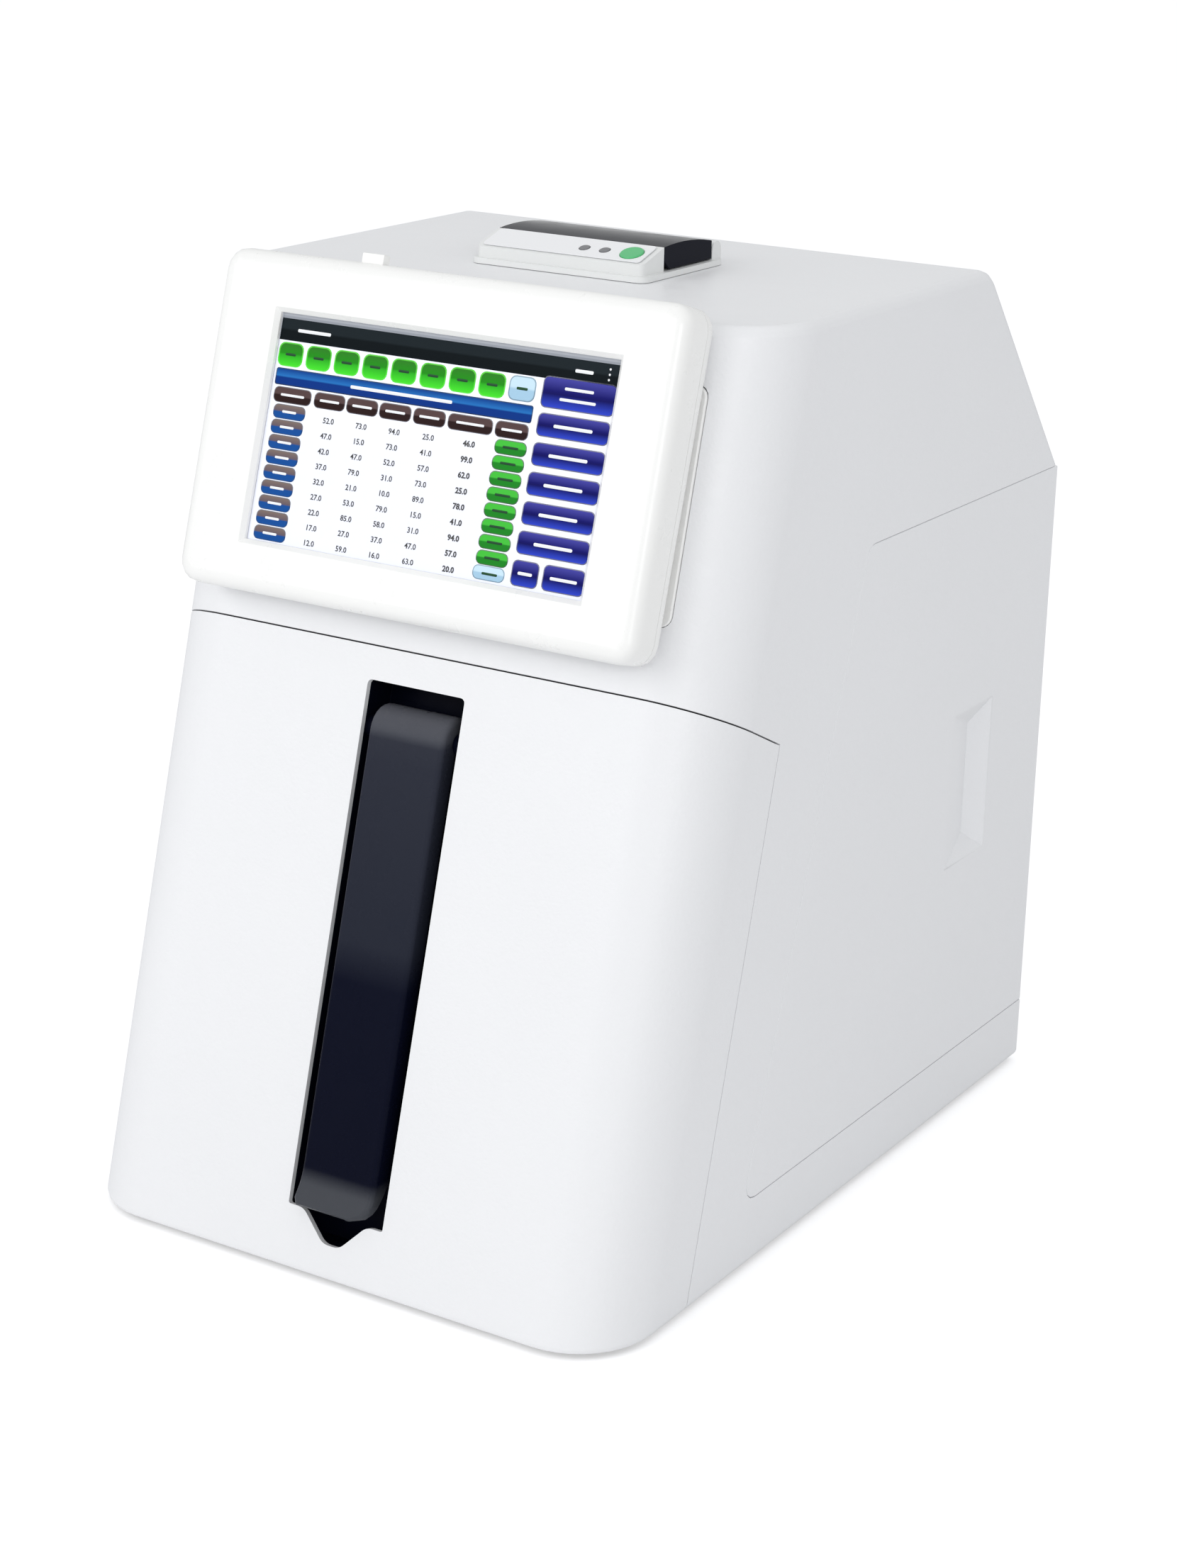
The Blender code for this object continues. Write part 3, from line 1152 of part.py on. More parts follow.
def make_base():
    half = HALF_WIDTH - WALL - SEAT
    outline = [
        (-half, BASE_FRONT + BASE_CORNER), (-half + BASE_CORNER, BASE_FRONT),
        (half - BASE_CORNER, BASE_FRONT), (half, BASE_FRONT + BASE_CORNER),
        (half, BODY_DEPTH - WALL - SEAT), (-half, BODY_DEPTH - WALL - SEAT),
    ]
    base = prism("base_plate", [outline], "XY", BASE_HEIGHT, BASE_HEIGHT + BASE_THICKNESS,
                 MATS["sheet_steel"])
    front = DOOR_WRAP + 0.012
    for side in (-1, 1):
        ends = sorted((side * (half - BASE_THICKNESS), side * half))
        flange = block("base_flange", (ends[0], front, BASE_HEIGHT + BASE_THICKNESS / 2),
                       (ends[1], BODY_DEPTH - WALL - SEAT, BASE_HEIGHT + BASE_FLANGE))
        boolean(base, flange, "UNION")
    for i, y in enumerate(FOOT_Y):
        for side, word in ((-1, "left"), (1, "right")):
            name = "foot_%s_%s" % (("front", "rear")[i], word)
            rod(name, FOOT_RADIUS * 0.85, (side * FOOT_SPREAD_X, y, -FLOOR_GAP),
                (side * FOOT_SPREAD_X, y, BASE_HEIGHT - SEAT), 24, MATS["rubber_black"],
                radius_end=FOOT_RADIUS)


def make_bulkhead():
    low = BASE_HEIGHT + BASE_THICKNESS + SEAT
    outline = rectangle((-BULKHEAD_HALF_WIDTH, low), (BULKHEAD_HALF_WIDTH, BULKHEAD_HEIGHT), 0.004, 2)
    shaft = arc((PUMP_X, PUMP_Z), MOTOR_SHAFT_RADIUS + 0.0015, 0, 345, 23)
    back = BULKHEAD_Y + BULKHEAD_THICKNESS
    bulkhead = prism("bulkhead", [outline, shaft], "XZ", BULKHEAD_Y, back, MATS["sheet_steel"])
    flange = block("bulkhead_flange", (-BULKHEAD_HALF_WIDTH, BULKHEAD_Y + BULKHEAD_THICKNESS / 2, low),
                   (BULKHEAD_HALF_WIDTH, BULKHEAD_Y + BULKHEAD_FLANGE, low + BULKHEAD_THICKNESS))
    boolean(bulkhead, flange, "UNION")


def make_reagent_pack():
    low = BASE_HEIGHT + BASE_THICKNESS + SEAT
    pack = block("reagent_pack", (PACK_X - PACK_WIDTH / 2, PACK_Y - PACK_DEPTH / 2, low),
                 (PACK_X + PACK_WIDTH / 2, PACK_Y + PACK_DEPTH / 2, low + PACK_HEIGHT),
                 MATS["pack_white"], bevel=0.002, steps=2)
    for i in range(4):
        x = PACK_X + (i - 1.5) * 0.020
        port = rod("pack_port", 0.0045, (x, PACK_Y + 0.030, low + PACK_HEIGHT - 0.002),
                   (x, PACK_Y + 0.030, low + PACK_HEIGHT + 0.007), 14)
        boolean(pack, port, "UNION")


def make_pump():
    """Peristaltic pump: a track open towards the left, a roller head and a motor behind."""
    front = BULKHEAD_Y - SEAT
    track_y = front - PUMP_LENGTH
    centre = (PUMP_X, PUMP_Z)
    outer = centred_rectangle(centre, 2 * PUMP_RADIUS, 2 * PUMP_RADIUS, 0.006, 3)
    housing = prism("pump_housing", [outer], "XZ", track_y, front, MATS["holder_grey"])
    bore_radius = ROTOR_RADIUS + 2 * TUBE_RADIUS + 0.001
    pocket = rod("pump_pocket", bore_radius, (PUMP_X, track_y - 0.01, PUMP_Z),
                 (PUMP_X, front - 0.003, PUMP_Z), 36)
    boolean(housing, pocket)
    mouth = block("pump_mouth", (PUMP_X - PUMP_RADIUS - 0.01, track_y - 0.01, PUMP_Z - bore_radius),
                  (PUMP_X, front - 0.003, PUMP_Z + bore_radius))
    boolean(housing, mouth)
    shaft_bore = rod("pump_shaft_bore", MOTOR_SHAFT_RADIUS + 0.0015, (PUMP_X, track_y, PUMP_Z),
                     (PUMP_X, front + 0.01, PUMP_Z), 20)
    boolean(housing, shaft_bore)
    smooth(housing)
    disc_back = front - 0.003 - RUNNING * 2
    hub = rod("pump_rotor", ROTOR_RADIUS - ROLLER_RADIUS * 1.7, (PUMP_X, track_y + 0.001, PUMP_Z),
              (PUMP_X, disc_back, PUMP_Z), 24, MATS["rotor_blue"])
    for at in (track_y + 0.001, disc_back - 0.003):
        disc = rod("rotor_disc", ROTOR_RADIUS - 0.002, (PUMP_X, at, PUMP_Z), (PUMP_X, at + 0.003, PUMP_Z), 28)
        boolean(hub, disc, "UNION")
    for i in range(ROLLERS):
        angle = 2 * math.pi * (i + 0.5) / ROLLERS
        x = PUMP_X + (ROTOR_RADIUS - ROLLER_RADIUS) * math.cos(angle)
        z = PUMP_Z + (ROTOR_RADIUS - ROLLER_RADIUS) * math.sin(angle)
        roller = rod("roller", ROLLER_RADIUS, (x, track_y + 0.0025, z), (x, disc_back - 0.0015, z), 16)
        boolean(hub, roller, "UNION")
    bore = rod("rotor_bore", MOTOR_SHAFT_RADIUS + RUNNING, (PUMP_X, track_y + 0.006, PUMP_Z),
               (PUMP_X, front + 0.01, PUMP_Z), 16)
    boolean(hub, bore)
    smooth(hub)
    motor_front = BULKHEAD_Y + BULKHEAD_THICKNESS + SEAT
    motor = rod("pump_motor", MOTOR_RADIUS, (PUMP_X, motor_front, PUMP_Z),
                (PUMP_X, motor_front + MOTOR_LENGTH, PUMP_Z), 28, MATS["motor_grey"])
    shaft = rod("motor_shaft", MOTOR_SHAFT_RADIUS, (PUMP_X, track_y + 0.0065, PUMP_Z),
                (PUMP_X, motor_front + 0.002, PUMP_Z), 16)
    boolean(motor, shaft, "UNION")
    smooth(motor)
    y = (track_y + front) / 2 - 0.001
    radius = bore_radius - TUBE_RADIUS - SEAT
    loop = [(PUMP_X - PUMP_RADIUS + 0.006, y, PUMP_Z + radius), (PUMP_X - 0.010, y, PUMP_Z + radius)]
    loop += [(x, y, z) for x, z in arc(centre, radius, 90, -90, 8)]
    loop += [(PUMP_X - 0.010, y, PUMP_Z - radius), (PUMP_X - PUMP_RADIUS + 0.006, y, PUMP_Z - radius)]
    tube("pump_tube", loop, TUBE_RADIUS, MATS["silicone"])


def make_sensors():
    front = BULKHEAD_Y - SEAT
    low = (SENSOR_X - SENSOR_WIDTH / 2, front - SENSOR_DEPTH, SENSOR_Z - SENSOR_HEIGHT / 2)
    high = (SENSOR_X + SENSOR_WIDTH / 2, front, SENSOR_Z + SENSOR_HEIGHT / 2)
    body = block("sensor_block", low, high, MATS["acrylic"], bevel=0.002, steps=2)
    pitch = SENSOR_WIDTH / SENSOR_COUNT
    for i in range(SENSOR_COUNT):
        x = SENSOR_X + (i - (SENSOR_COUNT - 1) / 2) * pitch
        face = front - SENSOR_DEPTH
        pocket = rod("sensor_pocket", SENSOR_RADIUS + SEAT, (x, face - 0.01, SENSOR_Z),
                     (x, face + 0.022, SENSOR_Z), 24)
        boolean(body, pocket)
        rod("sensor_%d" % (i + 1), SENSOR_RADIUS, (x, face - SENSOR_PROUD, SENSOR_Z),
            (x, face + 0.022 - SEAT, SENSOR_Z), 24, MATS["sensor_grey"])
    valve_low = BASE_HEIGHT + BASE_THICKNESS + SEAT
    block("valve_block", (VALVE_X - 0.030, front - 0.032, valve_low), (VALVE_X + 0.030, front, VALVE_Z + 0.016),
          MATS["acrylic"], bevel=0.0015, steps=2)


def make_electronics():
    low = BASE_HEIGHT + BASE_THICKNESS + SEAT
    block("power_supply", (SUPPLY_X - SUPPLY_WIDTH / 2, SUPPLY_Y - SUPPLY_LENGTH / 2, low),
          (SUPPLY_X + SUPPLY_WIDTH / 2, SUPPLY_Y + SUPPLY_LENGTH / 2, low + SUPPLY_HEIGHT),
          MATS["sheet_steel"], bevel=0.001)
    back = BULKHEAD_Y + BULKHEAD_THICKNESS + SEAT
    board = block("main_board", (BOARD_X - BOARD_WIDTH / 2, back + STANDOFF, BOARD_Z - BOARD_HEIGHT / 2),
                  (BOARD_X + BOARD_WIDTH / 2, back + STANDOFF + BOARD_THICKNESS, BOARD_Z + BOARD_HEIGHT / 2),
                  MATS["board_green"])
    for i in (-1, 1):
        for j in (-1, 1):
            x = BOARD_X + i * (BOARD_WIDTH / 2 - 0.006)
            z = BOARD_Z + j * (BOARD_HEIGHT / 2 - 0.006)
            post = rod("board_post", 0.003, (x, back, z), (x, back + STANDOFF + BOARD_THICKNESS / 2, z), 12)
            boolean(board, post, "UNION")
    face = back + STANDOFF + BOARD_THICKNESS / 2
    chips = (((-0.030, 0.015), (0.024, 0.024, 0.004)), ((0.015, 0.020), (0.018, 0.018, 0.004)),
             ((0.050, -0.010), (0.014, 0.050, 0.012)), ((-0.045, -0.035), (0.040, 0.010, 0.010)),
             ((0.005, -0.038), (0.030, 0.008, 0.010)))
    for (x, z), (width, height, tall) in chips:
        chip = block("chip", (BOARD_X + x - width / 2, face, BOARD_Z + z - height / 2),
                     (BOARD_X + x + width / 2, face + BOARD_THICKNESS / 2 + tall, BOARD_Z + z + height / 2))
        boolean(board, chip, "UNION")


def rear_face():
    return BODY_DEPTH - REAR_PANEL_INSET


def chamfer_inner_height(y):
    """Height of the rear chamfer's inner surface at a given depth."""
    slope = (BODY_HEIGHT - CHAMFER_HEIGHT) / (TOP_DEPTH - BODY_DEPTH)
    outer = CHAMFER_HEIGHT + (y - BODY_DEPTH) * slope
    return outer - WALL * math.hypot(1, slope)


def make_rear_panel():
    low = BASE_HEIGHT + BASE_THICKNESS + SEAT
    high = chamfer_inner_height(rear_face()) - SEAT
    outline = rectangle((-REAR_HALF_WIDTH, low), (REAR_HALF_WIDTH, high), 0.002, 2)
    inlet = centred_rectangle((INLET_X, INLET_Z), INLET_WIDTH - 0.004, INLET_HEIGHT - 0.004)
    ports = centred_rectangle((PORTS_X, PORTS_Z), PORTS_WIDTH - 0.004, PORTS_HEIGHT - 0.004)
    loops = [outline, inlet, ports]
    for i in range(-3, 4):
        z = FAN_Z + i * 0.0075
        half = math.sqrt(max((FAN_SIZE / 2 - 0.003) ** 2 - (z - FAN_Z) ** 2, 0.0))
        loops.append(centred_rectangle((FAN_X, z), 2 * half, 0.004, 0.0018, 2))
    for i in range(6):
        loops.append(centred_rectangle((INLET_X + 0.010, 0.200 + i * 0.011), 0.070, 0.0045, 0.002, 2))
    face = rear_face()
    panel = prism("rear_panel", loops, "XZ", face - REAR_THICKNESS, face, MATS["rear_grey"])
    for side in (-1, 1):
        ends = sorted((side * REAR_HALF_WIDTH, side * (REAR_HALF_WIDTH - REAR_THICKNESS)))
        flange = block("rear_flange", (ends[0], face - REAR_FLANGE, PANEL_LOW),
                       (ends[1], face - REAR_THICKNESS / 2, PANEL_HIGH - 0.01))
        boolean(panel, flange, "UNION")


def make_fan():
    back = rear_face() - REAR_THICKNESS - SEAT
    front = back - FAN_DEPTH
    outline = centred_rectangle((FAN_X, FAN_Z), FAN_SIZE, FAN_SIZE, 0.004, 3)
    bore = arc((FAN_X, FAN_Z), FAN_SIZE / 2 - 0.0015, 0, 350, 35)
    frame = prism("fan_frame", [outline, bore], "XZ", front, back, MATS["fan_black"])
    plate = rod("fan_plate", FAN_HUB_RADIUS, (FAN_X, front, FAN_Z), (FAN_X, front + 0.002, FAN_Z), 20)
    boolean(frame, plate, "UNION")
    for i in range(3):
        angle = math.radians(90 + 120 * i)
        direction = Vector((math.cos(angle), 0, math.sin(angle)))
        start = Vector((FAN_X, front + 0.001, FAN_Z)) + direction * (FAN_HUB_RADIUS - 0.002)
        end = Vector((FAN_X, front + 0.001, FAN_Z)) + direction * (FAN_SIZE / 2 - 0.0005)
        boolean(frame, rod("fan_strut", 0.001, start, end, 8), "UNION")
    pin = rod("fan_axle", 0.0015, (FAN_X, front + 0.001, FAN_Z), (FAN_X, back - 0.002, FAN_Z), 12)
    boolean(frame, pin, "UNION")
    smooth(frame)
    rotor_front = front + 0.002 + RUNNING * 2
    rotor_back = back - 0.0015
    rotor = rod("fan_rotor", FAN_HUB_RADIUS - 0.001, (FAN_X, rotor_front, FAN_Z), (FAN_X, rotor_back, FAN_Z),
                24, MATS["fan_black"])
    for i in range(FAN_BLADES):
        boolean(rotor, fan_blade(2 * math.pi * i / FAN_BLADES, rotor_front, rotor_back), "UNION")
    bore = rod("rotor_bearing", 0.0015 + RUNNING, (FAN_X, front, FAN_Z), (FAN_X, back - 0.002 + RUNNING, FAN_Z), 12)
    boolean(rotor, bore)
    smooth(rotor)


def fan_blade(angle, front, back):
    """One pitched blade, a thin plate turned about its own radius."""
    reach = FAN_SIZE / 2 - 0.003
    root = FAN_HUB_RADIUS - 0.002
    depth = (back - front) * 0.42
    bm = bmesh.new()
    bmesh.ops.create_cube(bm, size=1.0)
    bmesh.ops.scale(bm, vec=(reach - root, 0.0012, 2 * depth), verts=bm.verts)
    pitch = Matrix.Rotation(math.radians(38), 4, "X")
    out = Matrix.Translation(((reach + root) / 2, 0, 0))
    spin = Matrix.Rotation(angle, 4, "Z")
    lie = Matrix.Rotation(math.radians(90), 4, "X")
    place = Matrix.Translation((FAN_X, (front + back) / 2, FAN_Z))
    bmesh.ops.transform(bm, matrix=place @ lie @ spin @ out @ pitch, verts=bm.verts)
    return add_object("fan_blade", mesh_from(bm, "fan_blade"))


def make_rear_fittings():
    """Mains inlet with its rocker switch, and the block of data sockets."""
    face = rear_face()
    flange = 0.0018
    low = (INLET_X - INLET_WIDTH / 2 - 0.002, face + SEAT, INLET_Z - INLET_HEIGHT / 2 - 0.002)
    high = (INLET_X + INLET_WIDTH / 2 + 0.002, face + SEAT + flange, INLET_Z + INLET_HEIGHT / 2 + 0.002)
    inlet = block("mains_inlet", low, high, MATS["socket_black"])
    clear = 0.002 + SEAT
    body = block("inlet_body", (INLET_X - INLET_WIDTH / 2 + clear, face - INLET_DEPTH,
                                INLET_Z - INLET_HEIGHT / 2 + clear),
                 (INLET_X + INLET_WIDTH / 2 - clear, face + SEAT + flange / 2,
                  INLET_Z + INLET_HEIGHT / 2 - clear))
    boolean(inlet, body, "UNION")
    socket_z = INLET_Z - 0.010
    well = round_polygon([(INLET_X - 0.0105, socket_z - 0.0075), (INLET_X + 0.0105, socket_z - 0.0075),
                          (INLET_X + 0.0105, socket_z + 0.0035), (INLET_X + 0.0065, socket_z + 0.0075),
                          (INLET_X - 0.0065, socket_z + 0.0075), (INLET_X - 0.0105, socket_z + 0.0035)],
                         [0.001, 0.001, 0, 0, 0, 0], 2)
    boolean(inlet, prism("socket_well", [well], "XZ", face - 0.016, face + FAR))
    for x, z in ((-0.0058, -0.002), (0.0, 0.002), (0.0058, -0.002)):
        pin = block("socket_pin", (INLET_X + x - 0.001, face - 0.017, socket_z + z - 0.002),
                    (INLET_X + x + 0.001, face - 0.004, socket_z + z + 0.002))
        boolean(inlet, pin, "UNION")
    rocker_z = INLET_Z + 0.0105
    room = 0.0015
    bay = block("rocker_bay", (INLET_X - ROCKER_WIDTH / 2 - room, face - 0.010, rocker_z - ROCKER_HEIGHT / 2 - room),
                (INLET_X + ROCKER_WIDTH / 2 + room, face + FAR, rocker_z + ROCKER_HEIGHT / 2 + room))
    boolean(inlet, bay)
    rocker = [(face + 0.0042, rocker_z + ROCKER_HEIGHT / 2), (face + 0.0022, rocker_z),
              (face + 0.0042, rocker_z - ROCKER_HEIGHT / 2), (face - 0.003, rocker_z - ROCKER_HEIGHT / 2),
              (face - 0.008, rocker_z - 0.003), (face - 0.008, rocker_z + 0.003),
              (face - 0.003, rocker_z + ROCKER_HEIGHT / 2)]
    lever = prism("power_rocker", [rocker], "YZ", INLET_X - ROCKER_WIDTH / 2, INLET_X + ROCKER_WIDTH / 2,
                  MATS["switch_black"])
    turn_about(lever, (face - 0.003, rocker_z), ROCKER_TILT)
    ports_low = (PORTS_X - PORTS_WIDTH / 2 + clear, face - PORTS_DEPTH, PORTS_Z - PORTS_HEIGHT / 2 + clear)
    ports_high = (PORTS_X + PORTS_WIDTH / 2 - clear, face + 0.001, PORTS_Z + PORTS_HEIGHT / 2 - clear)
    ports = block("port_block", ports_low, ports_high, MATS["socket_black"])
    for x, width, height in ((-0.032, 0.0145, 0.0065), (-0.013, 0.0145, 0.0065), (0.009, 0.016, 0.0115),
                             (0.031, 0.017, 0.0085)):
        hole = block("port_hole", (PORTS_X + x - width / 2, face - PORTS_DEPTH + 0.003, PORTS_Z - height / 2),
                     (PORTS_X + x + width / 2, face + FAR, PORTS_Z + height / 2))
        boolean(ports, hole)


def turn_about(obj, pivot, angle):
    """Turn an object about an axis along X through pivot, given as depth and height."""
    centre = Matrix.Translation((0, pivot[0], pivot[1]))
    obj.data.transform(centre.inverted())
    obj.matrix_local = centre @ Matrix.Rotation(angle, 4, "X")


# Assembly

clear_scene()
PARTS = new_collection("blood_gas_analyzer")
TOOLS = new_collection("cutters")
TOOLS.hide_render = True

CABINET = frame_empty("cabinet_frame", Matrix.Translation((0, -(BODY_DEPTH + FRONT_EDGE_SETBACK) / 2, FLOOR_GAP)))
SLOPE = frame_empty("front_slope", Matrix.Rotation(-FRONT_LEAN, 4, "X"), CABINET)
DISPLAY = frame_empty("display_frame", Matrix.Translation((0, DISPLAY_CENTRE_Y, DISPLAY_CENTRE_Z))
                      @ Matrix.Rotation(-DISPLAY_LEAN, 4, "X"), CABINET)

MATS = {
    "shell_white": material("shell_white", (0.86, 0.87, 0.88), 0.45),
    "bezel_white": material("bezel_white", (0.93, 0.93, 0.92), 0.35),
    "gloss_black": material("gloss_black", (0.010, 0.012, 0.022), 0.18),
    "steel": material("steel", (0.62, 0.62, 0.62), 0.30, 1.0),
    "sheet_steel": material("sheet_steel", (0.55, 0.56, 0.57), 0.42, 1.0),
    "bracket_zinc": material("bracket_zinc", (0.50, 0.50, 0.49), 0.45, 1.0),
    "magnet_black": material("magnet_black", (0.03, 0.03, 0.03), 0.55),
    "holder_grey": material("holder_grey", (0.32, 0.34, 0.36), 0.50),
    "screen_glass": material("screen_glass", (0.75, 0.80, 0.90), 0.08),
    "lcd_frame": material("lcd_frame", (0.20, 0.21, 0.22), 0.50),
    "printer_white": material("printer_white", (0.80, 0.81, 0.80), 0.42),
    "label_white": material("label_white", (0.90, 0.90, 0.91), 0.38),
    "led_grey": material("led_grey", (0.22, 0.22, 0.23), 0.25),
    "feed_green": material("feed_green", (0.06, 0.46, 0.13), 0.35),
    "smoked_cover": material("smoked_cover", (0.012, 0.015, 0.030), 0.12),
    "paper_white": material("paper_white", (0.88, 0.88, 0.87), 0.80),
    "rubber_black": material("rubber_black", (0.025, 0.025, 0.025), 0.75),
    "pack_white": material("pack_white", (0.78, 0.80, 0.82), 0.60),
    "motor_grey": material("motor_grey", (0.30, 0.30, 0.31), 0.40, 0.8),
    "rotor_blue": material("rotor_blue", (0.05, 0.16, 0.38), 0.40),
    "silicone": material("silicone", (0.80, 0.74, 0.62), 0.45),
    "acrylic": material("acrylic", (0.70, 0.76, 0.80), 0.15),
    "sensor_grey": material("sensor_grey", (0.18, 0.20, 0.24), 0.35),
    "board_green": material("board_green", (0.03, 0.20, 0.09), 0.45),
    "rear_grey": material("rear_grey", (0.74, 0.75, 0.75), 0.50),
    "fan_black": material("fan_black", (0.02, 0.02, 0.02), 0.55),
    "socket_black": material("socket_black", (0.02, 0.02, 0.02), 0.45),
    "switch_black": material("switch_black", (0.03, 0.03, 0.03), 0.35),
}

make_shell()
make_door()
make_catches()
make_base()
make_door_hinges()
make_side_panels()
make_well()
make_flap()
make_probe()
make_bulkhead()
make_sampler_bracket()
make_bezel()
make_key()
make_case(make_screen())
make_display_bracket()
make_printer_frame()
make_fascia_parts()
make_cover()
make_printer_works()
make_reagent_pack()
make_pump()
make_sensors()
make_electronics()
make_rear_panel()
make_fan()
make_rear_fittings()
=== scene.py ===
"""Looks of a bench-top blood gas analyzer: materials, screen content, fine detail, light and camera."""
import json
import math

import bmesh
import bpy
from mathutils import Matrix, Vector


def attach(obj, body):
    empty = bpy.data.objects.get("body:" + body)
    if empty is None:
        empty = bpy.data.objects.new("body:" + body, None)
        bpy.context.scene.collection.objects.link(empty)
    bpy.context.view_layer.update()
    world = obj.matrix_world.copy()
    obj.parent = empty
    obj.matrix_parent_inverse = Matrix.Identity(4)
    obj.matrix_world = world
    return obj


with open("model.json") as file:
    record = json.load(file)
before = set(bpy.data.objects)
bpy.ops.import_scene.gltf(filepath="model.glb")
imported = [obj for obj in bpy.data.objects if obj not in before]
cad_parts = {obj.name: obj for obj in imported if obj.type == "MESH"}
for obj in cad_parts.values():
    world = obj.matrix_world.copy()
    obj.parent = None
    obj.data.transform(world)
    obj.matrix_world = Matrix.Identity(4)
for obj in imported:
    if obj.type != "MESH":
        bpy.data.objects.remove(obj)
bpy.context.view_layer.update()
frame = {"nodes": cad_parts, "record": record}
NODES = frame["nodes"]

# Frames of the leaning front and of the display, as the CAD model has them
DEPTH_CENTRE = -0.230885
FLOOR_GAP = 0.003
FRONT_LEAN = math.radians(14.8)
DISPLAY_LEAN = math.radians(16.1)
CABINET = Matrix.Translation((0, DEPTH_CENTRE, FLOOR_GAP))
SLOPE = CABINET @ Matrix.Rotation(-FRONT_LEAN, 4, "X")
DISPLAY = CABINET @ Matrix.Translation((0, 0.0786, 0.4114)) @ Matrix.Rotation(-DISPLAY_LEAN, 4, "X")


# Materials

def new_material(name):
    mat = bpy.data.materials.new(name)
    mat.use_nodes = True
    tree = mat.node_tree
    tree.nodes.clear()
    out = tree.nodes.new("ShaderNodeOutputMaterial")
    shader = tree.nodes.new("ShaderNodeBsdfPrincipled")
    tree.links.new(shader.outputs[0], out.inputs[0])
    return mat, tree, shader


def noise(tree, scale, detail=2.0, rough=0.5, stretch=None):
    """Noise in object coordinates; stretch scales the coordinates first."""
    coord = tree.nodes.new("ShaderNodeTexCoord")
    source = coord.outputs["Object"]
    if stretch:
        mapping = tree.nodes.new("ShaderNodeMapping")
        mapping.inputs["Scale"].default_value = stretch
        tree.links.new(source, mapping.inputs["Vector"])
        source = mapping.outputs["Vector"]
    tex = tree.nodes.new("ShaderNodeTexNoise")
    tex.inputs["Scale"].default_value = scale
    tex.inputs["Detail"].default_value = detail
    tex.inputs["Roughness"].default_value = rough
    tree.links.new(source, tex.inputs["Vector"])
    return tex.outputs["Fac"]


def ramp(tree, fac, stops):
    node = tree.nodes.new("ShaderNodeValToRGB")
    elements = node.color_ramp.elements
    for place, value in stops[2:]:
        elements.new(place)
    for element, (place, value) in zip(elements, stops):
        element.position = place
        element.color = (*value, 1.0) if len(value) == 3 else value
    tree.links.new(fac, node.inputs["Fac"])
    return node.outputs["Color"]


def grey(value):
    return (value, value, value)


def add_bump(tree, shader, layers):
    """Each layer is a height, a strength and a distance in metres; they are stacked."""
    last = None
    for height, strength, distance in layers:
        bump = tree.nodes.new("ShaderNodeBump")
        bump.inputs["Strength"].default_value = strength
        bump.inputs["Distance"].default_value = distance
        tree.links.new(height, bump.inputs["Height"])
        if last:
            tree.links.new(last, bump.inputs["Normal"])
        last = bump.outputs["Normal"]
    tree.links.new(last, shader.inputs["Normal"])


def moulded(name, colour, rough, grain=0.0, grain_scale=900.0, mottle=0.015, metallic=0.0, coat=0.0,
            specular=0.5, wave=0.0, ior=1.5):
    """Moulded or painted surface: a little colour drift, uneven gloss and a fine grain."""
    mat, tree, shader = new_material(name)
    drift = noise(tree, 9.0, 3.0)
    low = tuple(max(c * (1 - mottle), 0.0) for c in colour)
    high = tuple(min(c * (1 + mottle), 1.0) for c in colour)
    tree.links.new(ramp(tree, drift, [(0.3, low), (0.7, high)]), shader.inputs["Base Color"])
    patches = noise(tree, 60.0, 4.0, 0.6)
    smooth = grey(max(rough - 0.05, 0.02))
    dull = grey(min(rough + 0.06, 1.0))
    tree.links.new(ramp(tree, patches, [(0.3, smooth), (0.7, dull)]), shader.inputs["Roughness"])
    shader.inputs["Metallic"].default_value = metallic
    shader.inputs["Coat Weight"].default_value = coat
    shader.inputs["Specular IOR Level"].default_value = specular
    shader.inputs["IOR"].default_value = ior
    layers = []
    if wave:
        layers.append((noise(tree, 14.0, 1.0), wave, 0.002))
    if grain:
        layers.append((noise(tree, grain_scale, 2.0), grain, 0.0004))
    if layers:
        add_bump(tree, shader, layers)
    return mat


def brushed(name, colour, rough, along=(1.0, 40.0, 40.0)):
    """Sheet or turned metal with fine lines along one direction."""
    mat, tree, shader = new_material(name)
    lines = noise(tree, 60.0, 4.0, 0.7, along)
    low = tuple(c * 0.86 for c in colour)
    tree.links.new(ramp(tree, lines, [(0.3, low), (0.75, colour)]), shader.inputs["Base Color"])
    tree.links.new(ramp(tree, lines, [(0.3, grey(rough - 0.08)), (0.7, grey(rough + 0.1))]),
                   shader.inputs["Roughness"])
    shader.inputs["Metallic"].default_value = 1.0
    add_bump(tree, shader, [(lines, 0.12, 0.0003)])
    return mat


